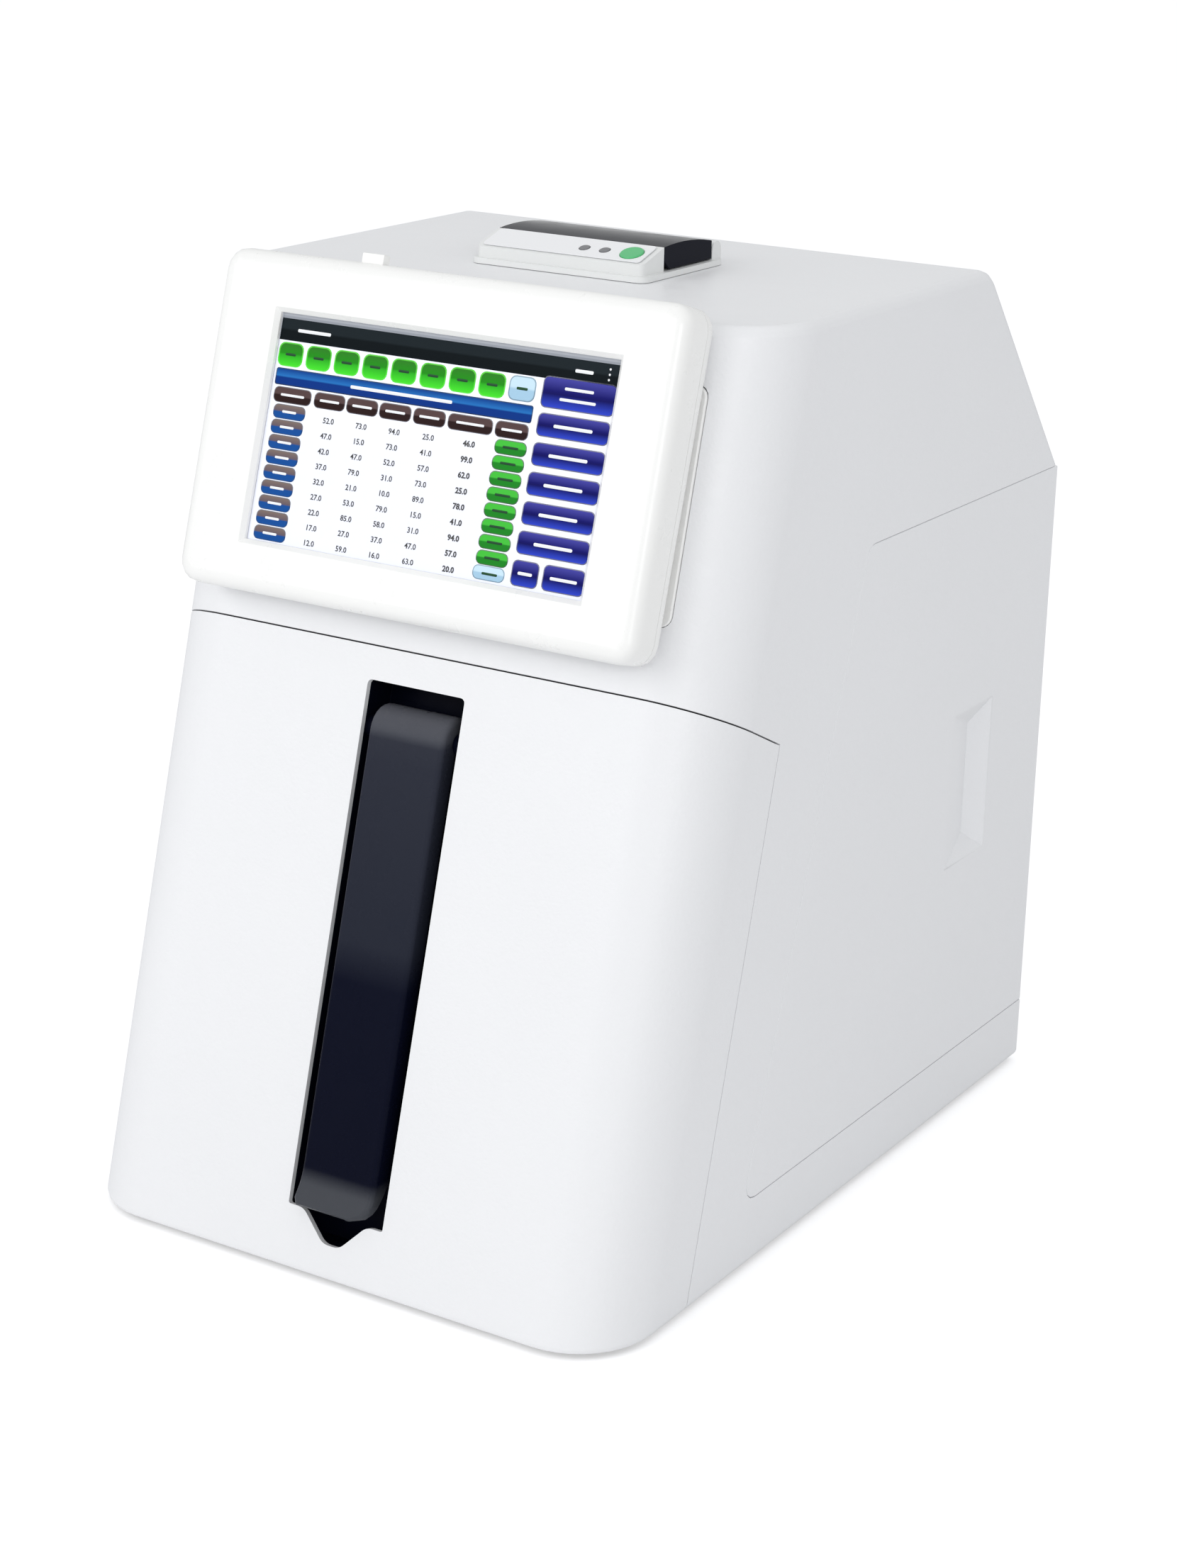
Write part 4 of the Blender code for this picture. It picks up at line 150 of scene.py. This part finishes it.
MATS = {
    "shell_white": moulded("cabinet_white", (0.86, 0.865, 0.88), 0.40, grain=0.38, grain_scale=480.0,
                           mottle=0.006, wave=0.05),
    "bezel_white": moulded("bezel_white", (0.93, 0.93, 0.915), 0.30, grain=0.012, mottle=0.004),
    "gloss_black": moulded("sampler_black", (0.0033, 0.0042, 0.0115), 0.30, grain=0.10, grain_scale=420.0,
                           mottle=0.12, specular=0.5, wave=0.06, ior=1.10),
    "steel": brushed("ground_steel", (0.62, 0.62, 0.62), 0.28),
    "sheet_steel": brushed("zinc_sheet", (0.56, 0.57, 0.58), 0.42, (1.0, 1.0, 30.0)),
    "bracket_zinc": brushed("cast_zinc", (0.50, 0.50, 0.49), 0.46, (6.0, 6.0, 6.0)),
    "magnet_black": moulded("magnet_case", (0.02, 0.02, 0.021), 0.5, grain=0.1),
    "holder_grey": moulded("holder_grey", (0.30, 0.32, 0.34), 0.45, grain=0.12),
    "screen_glass": moulded("screen_glass", (0.80, 0.83, 0.90), 0.10, mottle=0.004, specular=0.5),
    "lcd_frame": moulded("lcd_frame", (0.18, 0.19, 0.20), 0.5, grain=0.08),
    "printer_white": moulded("printer_white", (0.80, 0.81, 0.805), 0.36, grain=0.10, mottle=0.008),
    "label_white": moulded("label_white", (0.88, 0.885, 0.90), 0.34, grain=0.04, mottle=0.005),
    "led_grey": moulded("led_grey", (0.15, 0.15, 0.16), 0.22, mottle=0.05, coat=0.5),
    "feed_green": moulded("feed_green", (0.10, 0.52, 0.20), 0.34, grain=0.06, mottle=0.05),
    "smoked_cover": moulded("smoked_cover", (0.0040, 0.0050, 0.0120), 0.14, mottle=0.10, ior=1.14),
    "paper_white": moulded("paper_white", (0.86, 0.86, 0.85), 0.75, grain=0.2, grain_scale=2500.0),
    "rubber_black": moulded("rubber_black", (0.02, 0.02, 0.02), 0.75, grain=0.3, grain_scale=1500.0,
                            mottle=0.1),
    "pack_white": moulded("pack_white", (0.74, 0.77, 0.80), 0.55, grain=0.15, mottle=0.02),
    "motor_grey": moulded("motor_grey", (0.30, 0.30, 0.31), 0.38, grain=0.05, metallic=0.8),
    "rotor_blue": moulded("rotor_blue", (0.04, 0.14, 0.36), 0.38, grain=0.08, mottle=0.04),
    "silicone": moulded("silicone", (0.78, 0.72, 0.60), 0.4, mottle=0.04, coat=0.2),
    "acrylic": moulded("acrylic_block", (0.66, 0.73, 0.78), 0.12, mottle=0.02, coat=0.5),
    "sensor_grey": moulded("sensor_grey", (0.16, 0.18, 0.22), 0.34, grain=0.05),
    "board_green": moulded("board_green", (0.02, 0.17, 0.07), 0.4, grain=0.2, mottle=0.15),
    "rear_grey": moulded("rear_grey", (0.70, 0.71, 0.715), 0.48, grain=0.25, grain_scale=1100.0, mottle=0.01),
    "fan_black": moulded("fan_black", (0.015, 0.015, 0.016), 0.5, grain=0.1, mottle=0.08),
    "socket_black": moulded("socket_black", (0.014, 0.014, 0.015), 0.42, grain=0.1, mottle=0.08),
    "switch_black": moulded("switch_black", (0.02, 0.02, 0.021), 0.32, mottle=0.08),
}


def flap_black_painted_sheen():
    """Gloss of the raised flap: near-black, with a painted reflection on a soft lighter upper half and
    painted highlights on the crown and the lip.
    """
    mat, tree, shader = new_material("flap_black_painted_sheen")
    coord = tree.nodes.new("ShaderNodeTexCoord")
    split = tree.nodes.new("ShaderNodeSeparateXYZ")
    tree.links.new(coord.outputs["Generated"], split.inputs[0])
    # Painted reflection and highlights by height: pale lip at the foot, dark lower face, lighter upper half,
    # pale crown
    stops = [(0.0, (0.070, 0.074, 0.085)), (0.045, (0.060, 0.064, 0.075)), (0.075, (0.0036, 0.0046, 0.0135)),
             (0.46, (0.0040, 0.0052, 0.0150)), (0.54, (0.020, 0.023, 0.036)), (0.90, (0.026, 0.029, 0.043)),
             (0.945, (0.030, 0.033, 0.047)), (0.962, (0.070, 0.074, 0.090)), (0.99, (0.095, 0.098, 0.115))]
    tree.links.new(ramp(tree, split.outputs["Z"], stops), shader.inputs["Base Color"])
    patches = noise(tree, 60.0, 4.0, 0.6)
    tree.links.new(ramp(tree, patches, [(0.3, grey(0.22)), (0.7, grey(0.34))]), shader.inputs["Roughness"])
    shader.inputs["IOR"].default_value = 1.12
    add_bump(tree, shader, [(noise(tree, 14.0, 1.0), 0.05, 0.002), (noise(tree, 420.0, 2.0), 0.08, 0.0004)])
    return mat


# Edge radius of the CAD pieces whose edges the light picks up
EDGES = {
    "main_shell": 0.0006, "front_door": 0.0006, "side_panel_left": 0.0006, "side_panel_right": 0.0006,
    "sampler_well": 0.0008, "sampler_flap": 0.0005, "display_bezel": 0.0, "display_case": 0.0,
    "display_key": 0.0, "touch_glass": 0.0002, "printer_frame": 0.0006, "printer_label": 0.0002,
    "printer_cover": 0.0005, "feed_button": 0.0007, "power_led": 0.0004, "error_led": 0.0004,
    "rear_panel": 0.0003, "base_plate": 0.0003, "mains_inlet": 0.0005, "port_block": 0.0004,
    "power_rocker": 0.0006, "foot_front_left": 0.0008, "foot_front_right": 0.0008,
    "foot_rear_left": 0.0008, "foot_rear_right": 0.0008, "reagent_pack": 0.0004,
    "bulkhead": 0.0003, "probe_holder": 0.0003, "pump_housing": 0.0005,
}


def finish_edges(obj, width):
    """Join the split corners, round the sharp edges or keep them sharp, and even out the normals."""
    weld = obj.modifiers.new("weld", "WELD")
    weld.merge_threshold = 0.000002
    if width:
        flat = obj.modifiers.new("flatten", "DECIMATE")
        flat.decimate_type = "DISSOLVE"
        flat.angle_limit = math.radians(0.4)
        bevel = obj.modifiers.new("round", "BEVEL")
        bevel.width = width
        bevel.segments = 3
        bevel.limit_method = "ANGLE"
        bevel.angle_limit = math.radians(38)
        bevel.use_clamp_overlap = True
        bevel.miter_outer = "MITER_ARC"
    else:
        split = obj.modifiers.new("split", "EDGE_SPLIT")
        split.split_angle = math.radians(35)
    even = obj.modifiers.new("even", "WEIGHTED_NORMAL")
    even.keep_sharp = True
    even.weight = 80


for sub in frame["record"]["subparts"]:
    node = sub["node"]
    obj = NODES[node]
    obj.data.materials.clear()
    obj.data.materials.append(MATS[sub["material_slot"]])
    obj.data.shade_smooth()
    finish_edges(obj, EDGES.get(node, 0.0002))
# The flap gets its own material, with painted reflections on its upper half, crown and lip
NODES["sampler_flap"].data.materials[0] = flap_black_painted_sheen()


# New pieces

def add_piece(name, mesh, mat, body, matrix=None):
    obj = bpy.data.objects.new(name, mesh)
    bpy.context.scene.collection.objects.link(obj)
    if mat:
        mesh.materials.clear()
        mesh.materials.append(mat)
    obj.matrix_world = matrix or Matrix()
    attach(obj, body)
    return obj


def paint(name, low, high, rough=0.22, edge=None, foot=None):
    """Glossy screen colour that runs from low at the foot to high at the top of each patch."""
    mat, tree, shader = new_material(name)
    uv = tree.nodes.new("ShaderNodeUVMap")
    uv.uv_map = "patch"
    split = tree.nodes.new("ShaderNodeSeparateXYZ")
    tree.links.new(uv.outputs[0], split.inputs[0])
    stops = [(0.0, foot or low), (0.45, low), (0.55, high), (1.0, edge or high)]
    tree.links.new(ramp(tree, split.outputs["Y"], stops), shader.inputs["Base Color"])
    tree.links.new(ramp(tree, split.outputs["Y"], stops), shader.inputs["Emission Color"])
    shader.inputs["Emission Strength"].default_value = 0.10
    shader.inputs["Roughness"].default_value = rough
    shader.inputs["Specular IOR Level"].default_value = 0.03
    return mat


SCREEN_WIDTH = 0.197
SCREEN_HEIGHT = 0.113
SCREEN_X = 0.003
SCREEN_S = -0.0017
GLASS_FRONT = 0.0041


def screen_point(u, v, layer):
    """A place on the screen from fractions across and down; a higher layer lies nearer the viewer."""
    x = SCREEN_X + (u - 0.5) * SCREEN_WIDTH
    s = SCREEN_S + (0.5 - v) * SCREEN_HEIGHT
    return Vector((x, GLASS_FRONT - 0.00004 - 0.00004 * layer, s))


def rounded_patch(bm, uv_layer, centre, width, height, radius, layer, steps=4):
    """One rounded rectangle on the screen, its size in metres and its centre in fractions."""
    middle = screen_point(*centre, layer)
    radius = min(radius, width / 2 - 1e-5, height / 2 - 1e-5)
    corners = [(1, 1, 0), (-1, 1, 90), (-1, -1, 180), (1, -1, 270)]
    verts = []
    for sx, sz, start in corners:
        for i in range(steps + 1):
            a = math.radians(start + 90 * i / steps)
            dx = sx * (width / 2 - radius) + radius * math.cos(a)
            dz = sz * (height / 2 - radius) + radius * math.sin(a)
            verts.append(bm.verts.new(middle + Vector((dx, 0, dz))))
    face = bm.faces.new(verts)
    for loop in face.loops:
        place = loop.vert.co - middle
        loop[uv_layer].uv = (place.x / width + 0.5, place.z / height + 0.5)
    return face


def screen_group(name, mat, patches, layer):
    bm = bmesh.new()
    uv_layer = bm.loops.layers.uv.new("patch")
    for centre, width, height, radius in patches:
        rounded_patch(bm, uv_layer, centre, width, height, radius, layer)
    bmesh.ops.recalc_face_normals(bm, faces=bm.faces)
    for face in bm.faces:
        if face.normal.y > 0:
            face.normal_flip()
    mesh = bpy.data.meshes.new(name)
    bm.to_mesh(mesh)
    bm.free()
    return add_piece(name, mesh, mat, "cabinet", DISPLAY)


def make_screen():
    full = (SCREEN_WIDTH, SCREEN_HEIGHT)
    flat = {"rough": 0.30}
    paper = paint("screen_paper", (0.86, 0.88, 0.97), (0.88, 0.90, 0.98), **flat)
    screen_group("screen_ground", paper, [((0.5, 0.5), full[0] - 0.0004, full[1] - 0.0004, 0.0002)], 0)
    strip = paint("screen_strip", (0.30, 0.32, 0.36), (0.40, 0.42, 0.46), **flat)
    screen_group("screen_strip", strip, [((0.5, 0.012), full[0] - 0.0005, 0.0024, 0.0001)], 1)
    black = paint("screen_black", (0.004, 0.007, 0.009), (0.012, 0.018, 0.022), **flat)
    screen_group("screen_header", black, [((0.5, 0.070), full[0] - 0.0005, 0.0108, 0.0001)], 1)
    mark = paint("screen_mark", (0.78, 0.80, 0.82), (0.85, 0.86, 0.88), **flat)
    marks = [((0.105, 0.070), 0.020, 0.0016, 0.0006), ((0.900, 0.070), 0.010, 0.0016, 0.0006)]
    marks += [((0.970, 0.045 + 0.022 * i), 0.0011, 0.0011, 0.00055) for i in range(3)]
    screen_group("screen_header_marks", mark, marks, 2)
    green_rim = paint("screen_green_rim", (0.10, 0.72, 0.05), (0.12, 0.62, 0.06), **flat)
    green = paint("screen_green", (0.03, 0.42, 0.02), (0.018, 0.26, 0.012), edge=(0.03, 0.20, 0.02),
                  foot=(0.06, 0.70, 0.03), **flat)
    squares = [(0.0435 + 0.0866 * i, 0.178) for i in range(8)]
    screen_group("screen_squares_rim", green_rim, [(c, 0.0150, 0.0118, 0.0034) for c in squares], 1)
    screen_group("screen_squares", green, [(c, 0.0136, 0.0105, 0.0030) for c in squares], 2)
    pale = paint("screen_pale", (0.36, 0.56, 0.72), (0.56, 0.74, 0.86), **flat)
    pale_rim = paint("screen_pale_rim", (0.20, 0.30, 0.38), (0.28, 0.40, 0.48), **flat)
    screen_group("screen_spare_rim", pale_rim, [((0.736, 0.176), 0.0150, 0.0118, 0.0034),
                                                ((0.728, 0.958), 0.0182, 0.0070, 0.0030)], 1)
    screen_group("screen_spare", pale, [((0.736, 0.176), 0.0138, 0.0107, 0.0030),
                                        ((0.728, 0.958), 0.0172, 0.0061, 0.0026)], 2)
    banner = paint("screen_banner", (0.004, 0.035, 0.22), (0.02, 0.16, 0.48), edge=(0.006, 0.05, 0.26),
                   **flat)
    banner_rim = paint("screen_banner_rim", (0.02, 0.04, 0.10), (0.04, 0.08, 0.16), **flat)
    screen_group("screen_banner_rim", banner_rim, [((0.392, 0.276), 0.1515, 0.0084, 0.0012)], 1)
    screen_group("screen_banner", banner, [((0.392, 0.276), 0.1505, 0.0074, 0.0010)], 2)
    brown = paint("screen_brown", (0.025, 0.012, 0.012), (0.09, 0.055, 0.055), **flat)
    brown_rim = paint("screen_brown_rim", (0.10, 0.09, 0.10), (0.22, 0.21, 0.22), **flat)
    columns = [(0.069, 0.0230), (0.184, 0.0188), (0.284, 0.0188), (0.384, 0.0188), (0.486, 0.0188),
               (0.606, 0.0258), (0.726, 0.0188)]
    screen_group("screen_heads_rim", brown_rim, [((u, 0.354), w, 0.0078, 0.0028) for u, w in columns], 1)
    screen_group("screen_heads", brown, [((u, 0.354), w - 0.0009, 0.0070, 0.0025) for u, w in columns], 2)
    blue_pill = paint("screen_blue_pill", (0.010, 0.075, 0.30), (0.13, 0.10, 0.12), edge=(0.20, 0.15, 0.13),
                      **flat)
    blue_rim = paint("screen_blue_pill_rim", (0.03, 0.08, 0.20), (0.20, 0.20, 0.22), **flat)
    rows = [0.4265 + 0.0668 * i for i in range(9)]
    screen_group("screen_rows_rim", blue_rim, [((0.067, v), 0.0196, 0.0071, 0.0027) for v in rows], 1)
    screen_group("screen_rows", blue_pill, [((0.067, v), 0.0187, 0.0063, 0.0024) for v in rows], 2)
    pass_green = paint("screen_pass", (0.015, 0.22, 0.02), (0.06, 0.50, 0.05), **flat)
    pass_rim = paint("screen_pass_rim", (0.06, 0.14, 0.06), (0.16, 0.24, 0.16), **flat)
    screen_group("screen_pass_rim", pass_rim, [((0.731, v), 0.0182, 0.0070, 0.0030) for v in rows[:8]], 1)
    screen_group("screen_pass", pass_green, [((0.731, v), 0.0172, 0.0061, 0.0026) for v in rows[:8]], 2)
    navy = paint("screen_navy", (0.006, 0.006, 0.10), (0.008, 0.008, 0.13), edge=(0.06, 0.06, 0.34),
                 foot=(0.03, 0.06, 0.55), **flat)
    navy_rim = paint("screen_navy_rim", (0.16, 0.16, 0.22), (0.24, 0.24, 0.30), **flat)
    buttons = [((0.895, 0.172), 0.0405, 0.0150)]
    buttons += [((0.895, 0.309 + 0.1238 * i), 0.0400, 0.0112) for i in range(5)]
    buttons += [((0.830, 0.933), 0.0152, 0.0125), ((0.939, 0.931), 0.0232, 0.0125)]
    screen_group("screen_buttons_rim", navy_rim, [(c, w, h, 0.0028) for c, w, h in buttons], 1)
    inner = [(c, w - 0.0010, h - 0.0010, 0.0024) for c, w, h in buttons]
    screen_group("screen_buttons", navy, inner, 2)
    bars = [((0.392, 0.276), 0.060, 0.0016, 0.0006)]
    bars += [((u, 0.354), w * 0.62, 0.0012, 0.0005) for u, w in columns]
    bars += [((0.067, v), 0.0085, 0.0012, 0.0005) for v in rows]
    bars += [((0.895, 0.150), 0.0160, 0.0014, 0.0006), ((0.895, 0.196), 0.0200, 0.0014, 0.0006)]
    bars += [((0.895, 0.309 + 0.1238 * i), 0.0215, 0.0016, 0.0007) for i in range(5)]
    bars += [((0.830, 0.933), 0.0080, 0.0015, 0.0006), ((0.939, 0.931), 0.0150, 0.0015, 0.0006)]
    screen_group("screen_bars", mark, bars, 3)
    dark = paint("screen_dark", (0.02, 0.06, 0.03), (0.03, 0.09, 0.04), **flat)
    dark_bars = [((0.0435 + 0.0866 * i, 0.178), 0.0062, 0.0013, 0.0005) for i in range(8)]
    dark_bars += [((0.731, v), 0.0088, 0.0012, 0.0005) for v in rows]
    dark_bars += [((0.736, 0.176), 0.0062, 0.0013, 0.0005)]
    screen_group("screen_dark_bars", dark, dark_bars, 3)
    make_numbers([u for u, w in columns[1:6]], rows)


def make_numbers(columns, rows):
    """Plain numbers in the table, the last column bolder."""
    mat, tree, shader = new_material("screen_ink")
    tree.links.new(ramp(tree, noise(tree, 200.0), [(0.0, grey(0.008)), (1.0, grey(0.02))]),
                   shader.inputs["Base Color"])
    shader.inputs["Roughness"].default_value = 0.3
    bm = bmesh.new()
    for i, u in enumerate(columns):
        for j, v in enumerate(rows):
            value = 10.0 + (37 * (i + 2) * (j + 3) + 11 * j) % 90
            text = "%.1f" % value
            curve = bpy.data.curves.new("number", "FONT")
            curve.body = text
            curve.size = 0.0039
            curve.align_x = "CENTER"
            curve.align_y = "CENTER"
            curve.resolution_u = 2
            curve.offset = 0.00014 if i == 4 else 0.00006
            obj = bpy.data.objects.new("number", curve)
            bpy.context.scene.collection.objects.link(obj)
            graph = bpy.context.evaluated_depsgraph_get()
            mesh = bpy.data.meshes.new_from_object(obj.evaluated_get(graph))
            place = screen_point(u + 0.006, v + 0.012, 3)
            mesh.transform(Matrix.Translation(place) @ Matrix.Rotation(math.radians(90), 4, "X"))
            bm.from_mesh(mesh)
            bpy.data.objects.remove(obj, do_unlink=True)
            bpy.data.meshes.remove(mesh)
            bpy.data.curves.remove(curve)
    mesh = bpy.data.meshes.new("screen_numbers")
    bm.to_mesh(mesh)
    bm.free()
    add_piece("screen_numbers", mesh, mat, "cabinet", DISPLAY)


make_screen()


def rounded_plate(name, corners, depth, mat, body, matrix, width=0.0008):
    """A closed plate from an outline in its frame's x and z, with softened edges."""
    bm = bmesh.new()
    front = [bm.verts.new((x, depth[0], z)) for x, z in corners]
    back = [bm.verts.new((x, depth[1], z)) for x, z in corners]
    bm.faces.new(front)
    bm.faces.new(list(reversed(back)))
    for i in range(len(corners)):
        j = (i + 1) % len(corners)
        bm.faces.new((front[j], front[i], back[i], back[j]))
    bmesh.ops.recalc_face_normals(bm, faces=bm.faces)
    mesh = bpy.data.meshes.new(name)
    bm.to_mesh(mesh)
    bm.free()
    obj = add_piece(name, mesh, mat, body, matrix)
    mesh.shade_smooth()
    finish_edges(obj, width)
    return obj


def outline(low, high, radius, steps=5):
    """Rounded rectangle as a list of points."""
    points = []
    for cx, cz, start in ((high[0] - radius, high[1] - radius, 0), (low[0] + radius, high[1] - radius, 90),
                          (low[0] + radius, low[1] + radius, 180), (high[0] - radius, low[1] + radius, 270)):
        for i in range(steps + 1):
            a = math.radians(start + 90 * i / steps)
            points.append((cx + radius * math.cos(a), cz + radius * math.sin(a)))
    return points


# The neck behind the display all but fills the cabinet's cut-out, on the slope's own frame
rounded_plate("display_neck", outline((-0.1344, 0.3528), (0.1344, 0.4668), 0.0057), (0.0004, 0.0030),
              MATS["bezel_white"], "cabinet", SLOPE)


def make_screws(name, places, radius, mat, matrix):
    """Pan-head screws with a cross recess on a face whose outward side is +y."""
    bm = bmesh.new()
    for x, z in places:
        rings = [(1.0, 0.0), (1.0, 0.30), (0.86, 0.52), (0.52, 0.66)]
        verts = [[bm.verts.new((x + radius * r * math.cos(math.radians(15 * i)), radius * h,
                                z + radius * r * math.sin(math.radians(15 * i)))) for i in range(24)]
                 for r, h in rings]
        for lower, upper in zip(verts, verts[1:]):
            for i in range(24):
                j = (i + 1) % 24
                bm.faces.new((lower[i], lower[j], upper[j], upper[i]))
        arms = []
        for k in range(4):
            arms += [(0.42, 90 * k - 20), (0.42, 90 * k + 20), (0.16, 90 * k + 45)]
        cross = [bm.verts.new((x + radius * r * math.cos(math.radians(a)), radius * 0.66,
                               z + radius * r * math.sin(math.radians(a)))) for r, a in arms]
        sunk = [bm.verts.new((v.co.x * 0.5 + x * 0.5, radius * 0.28, v.co.z * 0.5 + z * 0.5)) for v in cross]
        for i in range(12):
            j = (i + 1) % 12
            bm.faces.new((cross[i], cross[j], sunk[j], sunk[i]))
        bm.faces.new(sunk)
        ring = verts[-1]
        for i in range(24):
            a = cross[(i // 2) % 12]
            b = cross[((i + 1) // 2) % 12]
            j = (i + 1) % 24
            bm.faces.new((ring[i], ring[j], a) if a is b else (ring[i], ring[j], b, a))
    bmesh.ops.recalc_face_normals(bm, faces=bm.faces)
    mesh = bpy.data.meshes.new(name)
    bm.to_mesh(mesh)
    bm.free()
    mesh.shade_smooth()
    return add_piece(name, mesh, mat, "cabinet", matrix)


rear_verts = [NODES["rear_panel"].matrix_world @ v.co for v in NODES["rear_panel"].data.vertices]
REAR_Y = max(v.y for v in rear_verts)
REAR_X = max(v.x for v in rear_verts)
REAR_LOW = min(v.z for v in rear_verts)
REAR_HIGH = max(v.z for v in rear_verts)
SCREW_FROM_EDGE = 0.007
SCREW_RADIUS = 0.0030
SCREW_HEIGHTS = (0.052, (REAR_LOW + REAR_HIGH) / 2, 0.345)
screw_places = [(sx * (REAR_X - SCREW_FROM_EDGE), z) for sx in (-1, 1) for z in SCREW_HEIGHTS]
make_screws("rear_screw_heads", screw_places, SCREW_RADIUS, MATS["steel"], Matrix.Translation((0, REAR_Y, 0)))


# Camera

def make_camera():
    """The camera of the photograph, from its place, its turn and its height above the bench."""
    azimuth = math.radians(31.787)
    elevation = math.radians(18.661)
    roll = math.radians(1.320)
    forward = Vector((-math.sin(azimuth) * math.cos(elevation), math.cos(azimuth) * math.cos(elevation),
                      -math.sin(elevation)))
    right = Vector((math.cos(azimuth), math.sin(azimuth), 0.0))
    up = right.cross(forward)
    turned_right = right * math.cos(roll) + up * math.sin(roll)
    turned_up = up * math.cos(roll) - right * math.sin(roll)
    data = bpy.data.cameras.new("camera")
    data.sensor_width = 36.0
    data.sensor_fit = "AUTO"
    data.lens = 71.83
    data.clip_start = 0.05
    data.clip_end = 60.0
    cam = bpy.data.objects.new("camera", data)
    bpy.context.scene.collection.objects.link(cam)
    basis = Matrix((turned_right, turned_up, -forward)).transposed().to_4x4()
    place = Vector((0.8463, -1.1263 + DEPTH_CENTRE, 0.7397 + FLOOR_GAP))
    cam.matrix_world = Matrix.Translation(place) @ basis
    bpy.context.scene.camera = cam


make_camera()


# Floor, light and background

FLOOR_HALF = 12.0
FLOOR_GLOW = 0.40
WORLD_LIGHT = 0.72

# Name, place, target, side in metres and power in watts of each lamp
LAMPS = [
    ("key_front", (-1.2, -2.6, 1.6), (0, 0, 0.25), 1.8, 22.0),
    ("side_fill", (1.8, -2.3, 1.3), (0.165, 0.1, 0.2), 0.7, 12.0),
    ("top_soft", (0.2, 0.3, 2.6), (0, 0, 0.3), 2.0, 3.0),
]


def make_floor():
    mesh = bpy.data.meshes.new("floor")
    bm = bmesh.new()
    bmesh.ops.create_grid(bm, x_segments=1, y_segments=1, size=FLOOR_HALF)
    bm.to_mesh(mesh)
    bm.free()
    floor = bpy.data.objects.new("floor", mesh)
    bpy.context.scene.collection.objects.link(floor)
    mat = bpy.data.materials.new("floor_white")
    mat.use_nodes = True
    tree = mat.node_tree
    tree.nodes.clear()
    out = tree.nodes.new("ShaderNodeOutputMaterial")
    diffuse = tree.nodes.new("ShaderNodeBsdfDiffuse")
    diffuse.inputs["Color"].default_value = (0.86, 0.86, 0.87, 1.0)
    glow = tree.nodes.new("ShaderNodeEmission")
    glow.inputs["Color"].default_value = (1.0, 1.0, 1.0, 1.0)
    rays = tree.nodes.new("ShaderNodeLightPath")
    scale = tree.nodes.new("ShaderNodeMath")
    scale.operation = "MULTIPLY"
    scale.inputs[1].default_value = FLOOR_GLOW
    tree.links.new(rays.outputs["Is Camera Ray"], scale.inputs[0])
    tree.links.new(scale.outputs[0], glow.inputs["Strength"])
    both = tree.nodes.new("ShaderNodeAddShader")
    tree.links.new(diffuse.outputs[0], both.inputs[0])
    tree.links.new(glow.outputs[0], both.inputs[1])
    tree.links.new(both.outputs[0], out.inputs[0])
    mesh.materials.append(mat)


def make_world():
    """White for the camera; a little weaker as light and in reflections."""
    world = bpy.data.worlds.new("studio")
    bpy.context.scene.world = world
    world.use_nodes = True
    tree = world.node_tree
    tree.nodes.clear()
    out = tree.nodes.new("ShaderNodeOutputWorld")
    light = tree.nodes.new("ShaderNodeBackground")
    light.inputs["Color"].default_value = (0.98, 0.99, 1.0, 1.0)
    light.inputs["Strength"].default_value = WORLD_LIGHT
    seen = tree.nodes.new("ShaderNodeBackground")
    seen.inputs["Color"].default_value = (1.0, 1.0, 1.0, 1.0)
    seen.inputs["Strength"].default_value = 1.0
    rays = tree.nodes.new("ShaderNodeLightPath")
    mix = tree.nodes.new("ShaderNodeMixShader")
    tree.links.new(rays.outputs["Is Camera Ray"], mix.inputs[0])
    tree.links.new(light.outputs[0], mix.inputs[1])
    tree.links.new(seen.outputs[0], mix.inputs[2])
    tree.links.new(mix.outputs[0], out.inputs[0])


def area_light(name, place, target, size, power):
    data = bpy.data.lights.new(name, "AREA")
    data.shape = "RECTANGLE"
    data.size = size
    data.size_y = size
    data.energy = power
    lamp = bpy.data.objects.new(name, data)
    bpy.context.scene.collection.objects.link(lamp)
    lamp.location = place
    lamp.rotation_mode = "QUATERNION"
    lamp.rotation_quaternion = (Vector(target) - Vector(place)).to_track_quat("-Z", "Y")


make_floor()
make_world()
for lamp_row in LAMPS:
    area_light(*lamp_row)
bpy.context.scene.view_settings.view_transform = "Standard"
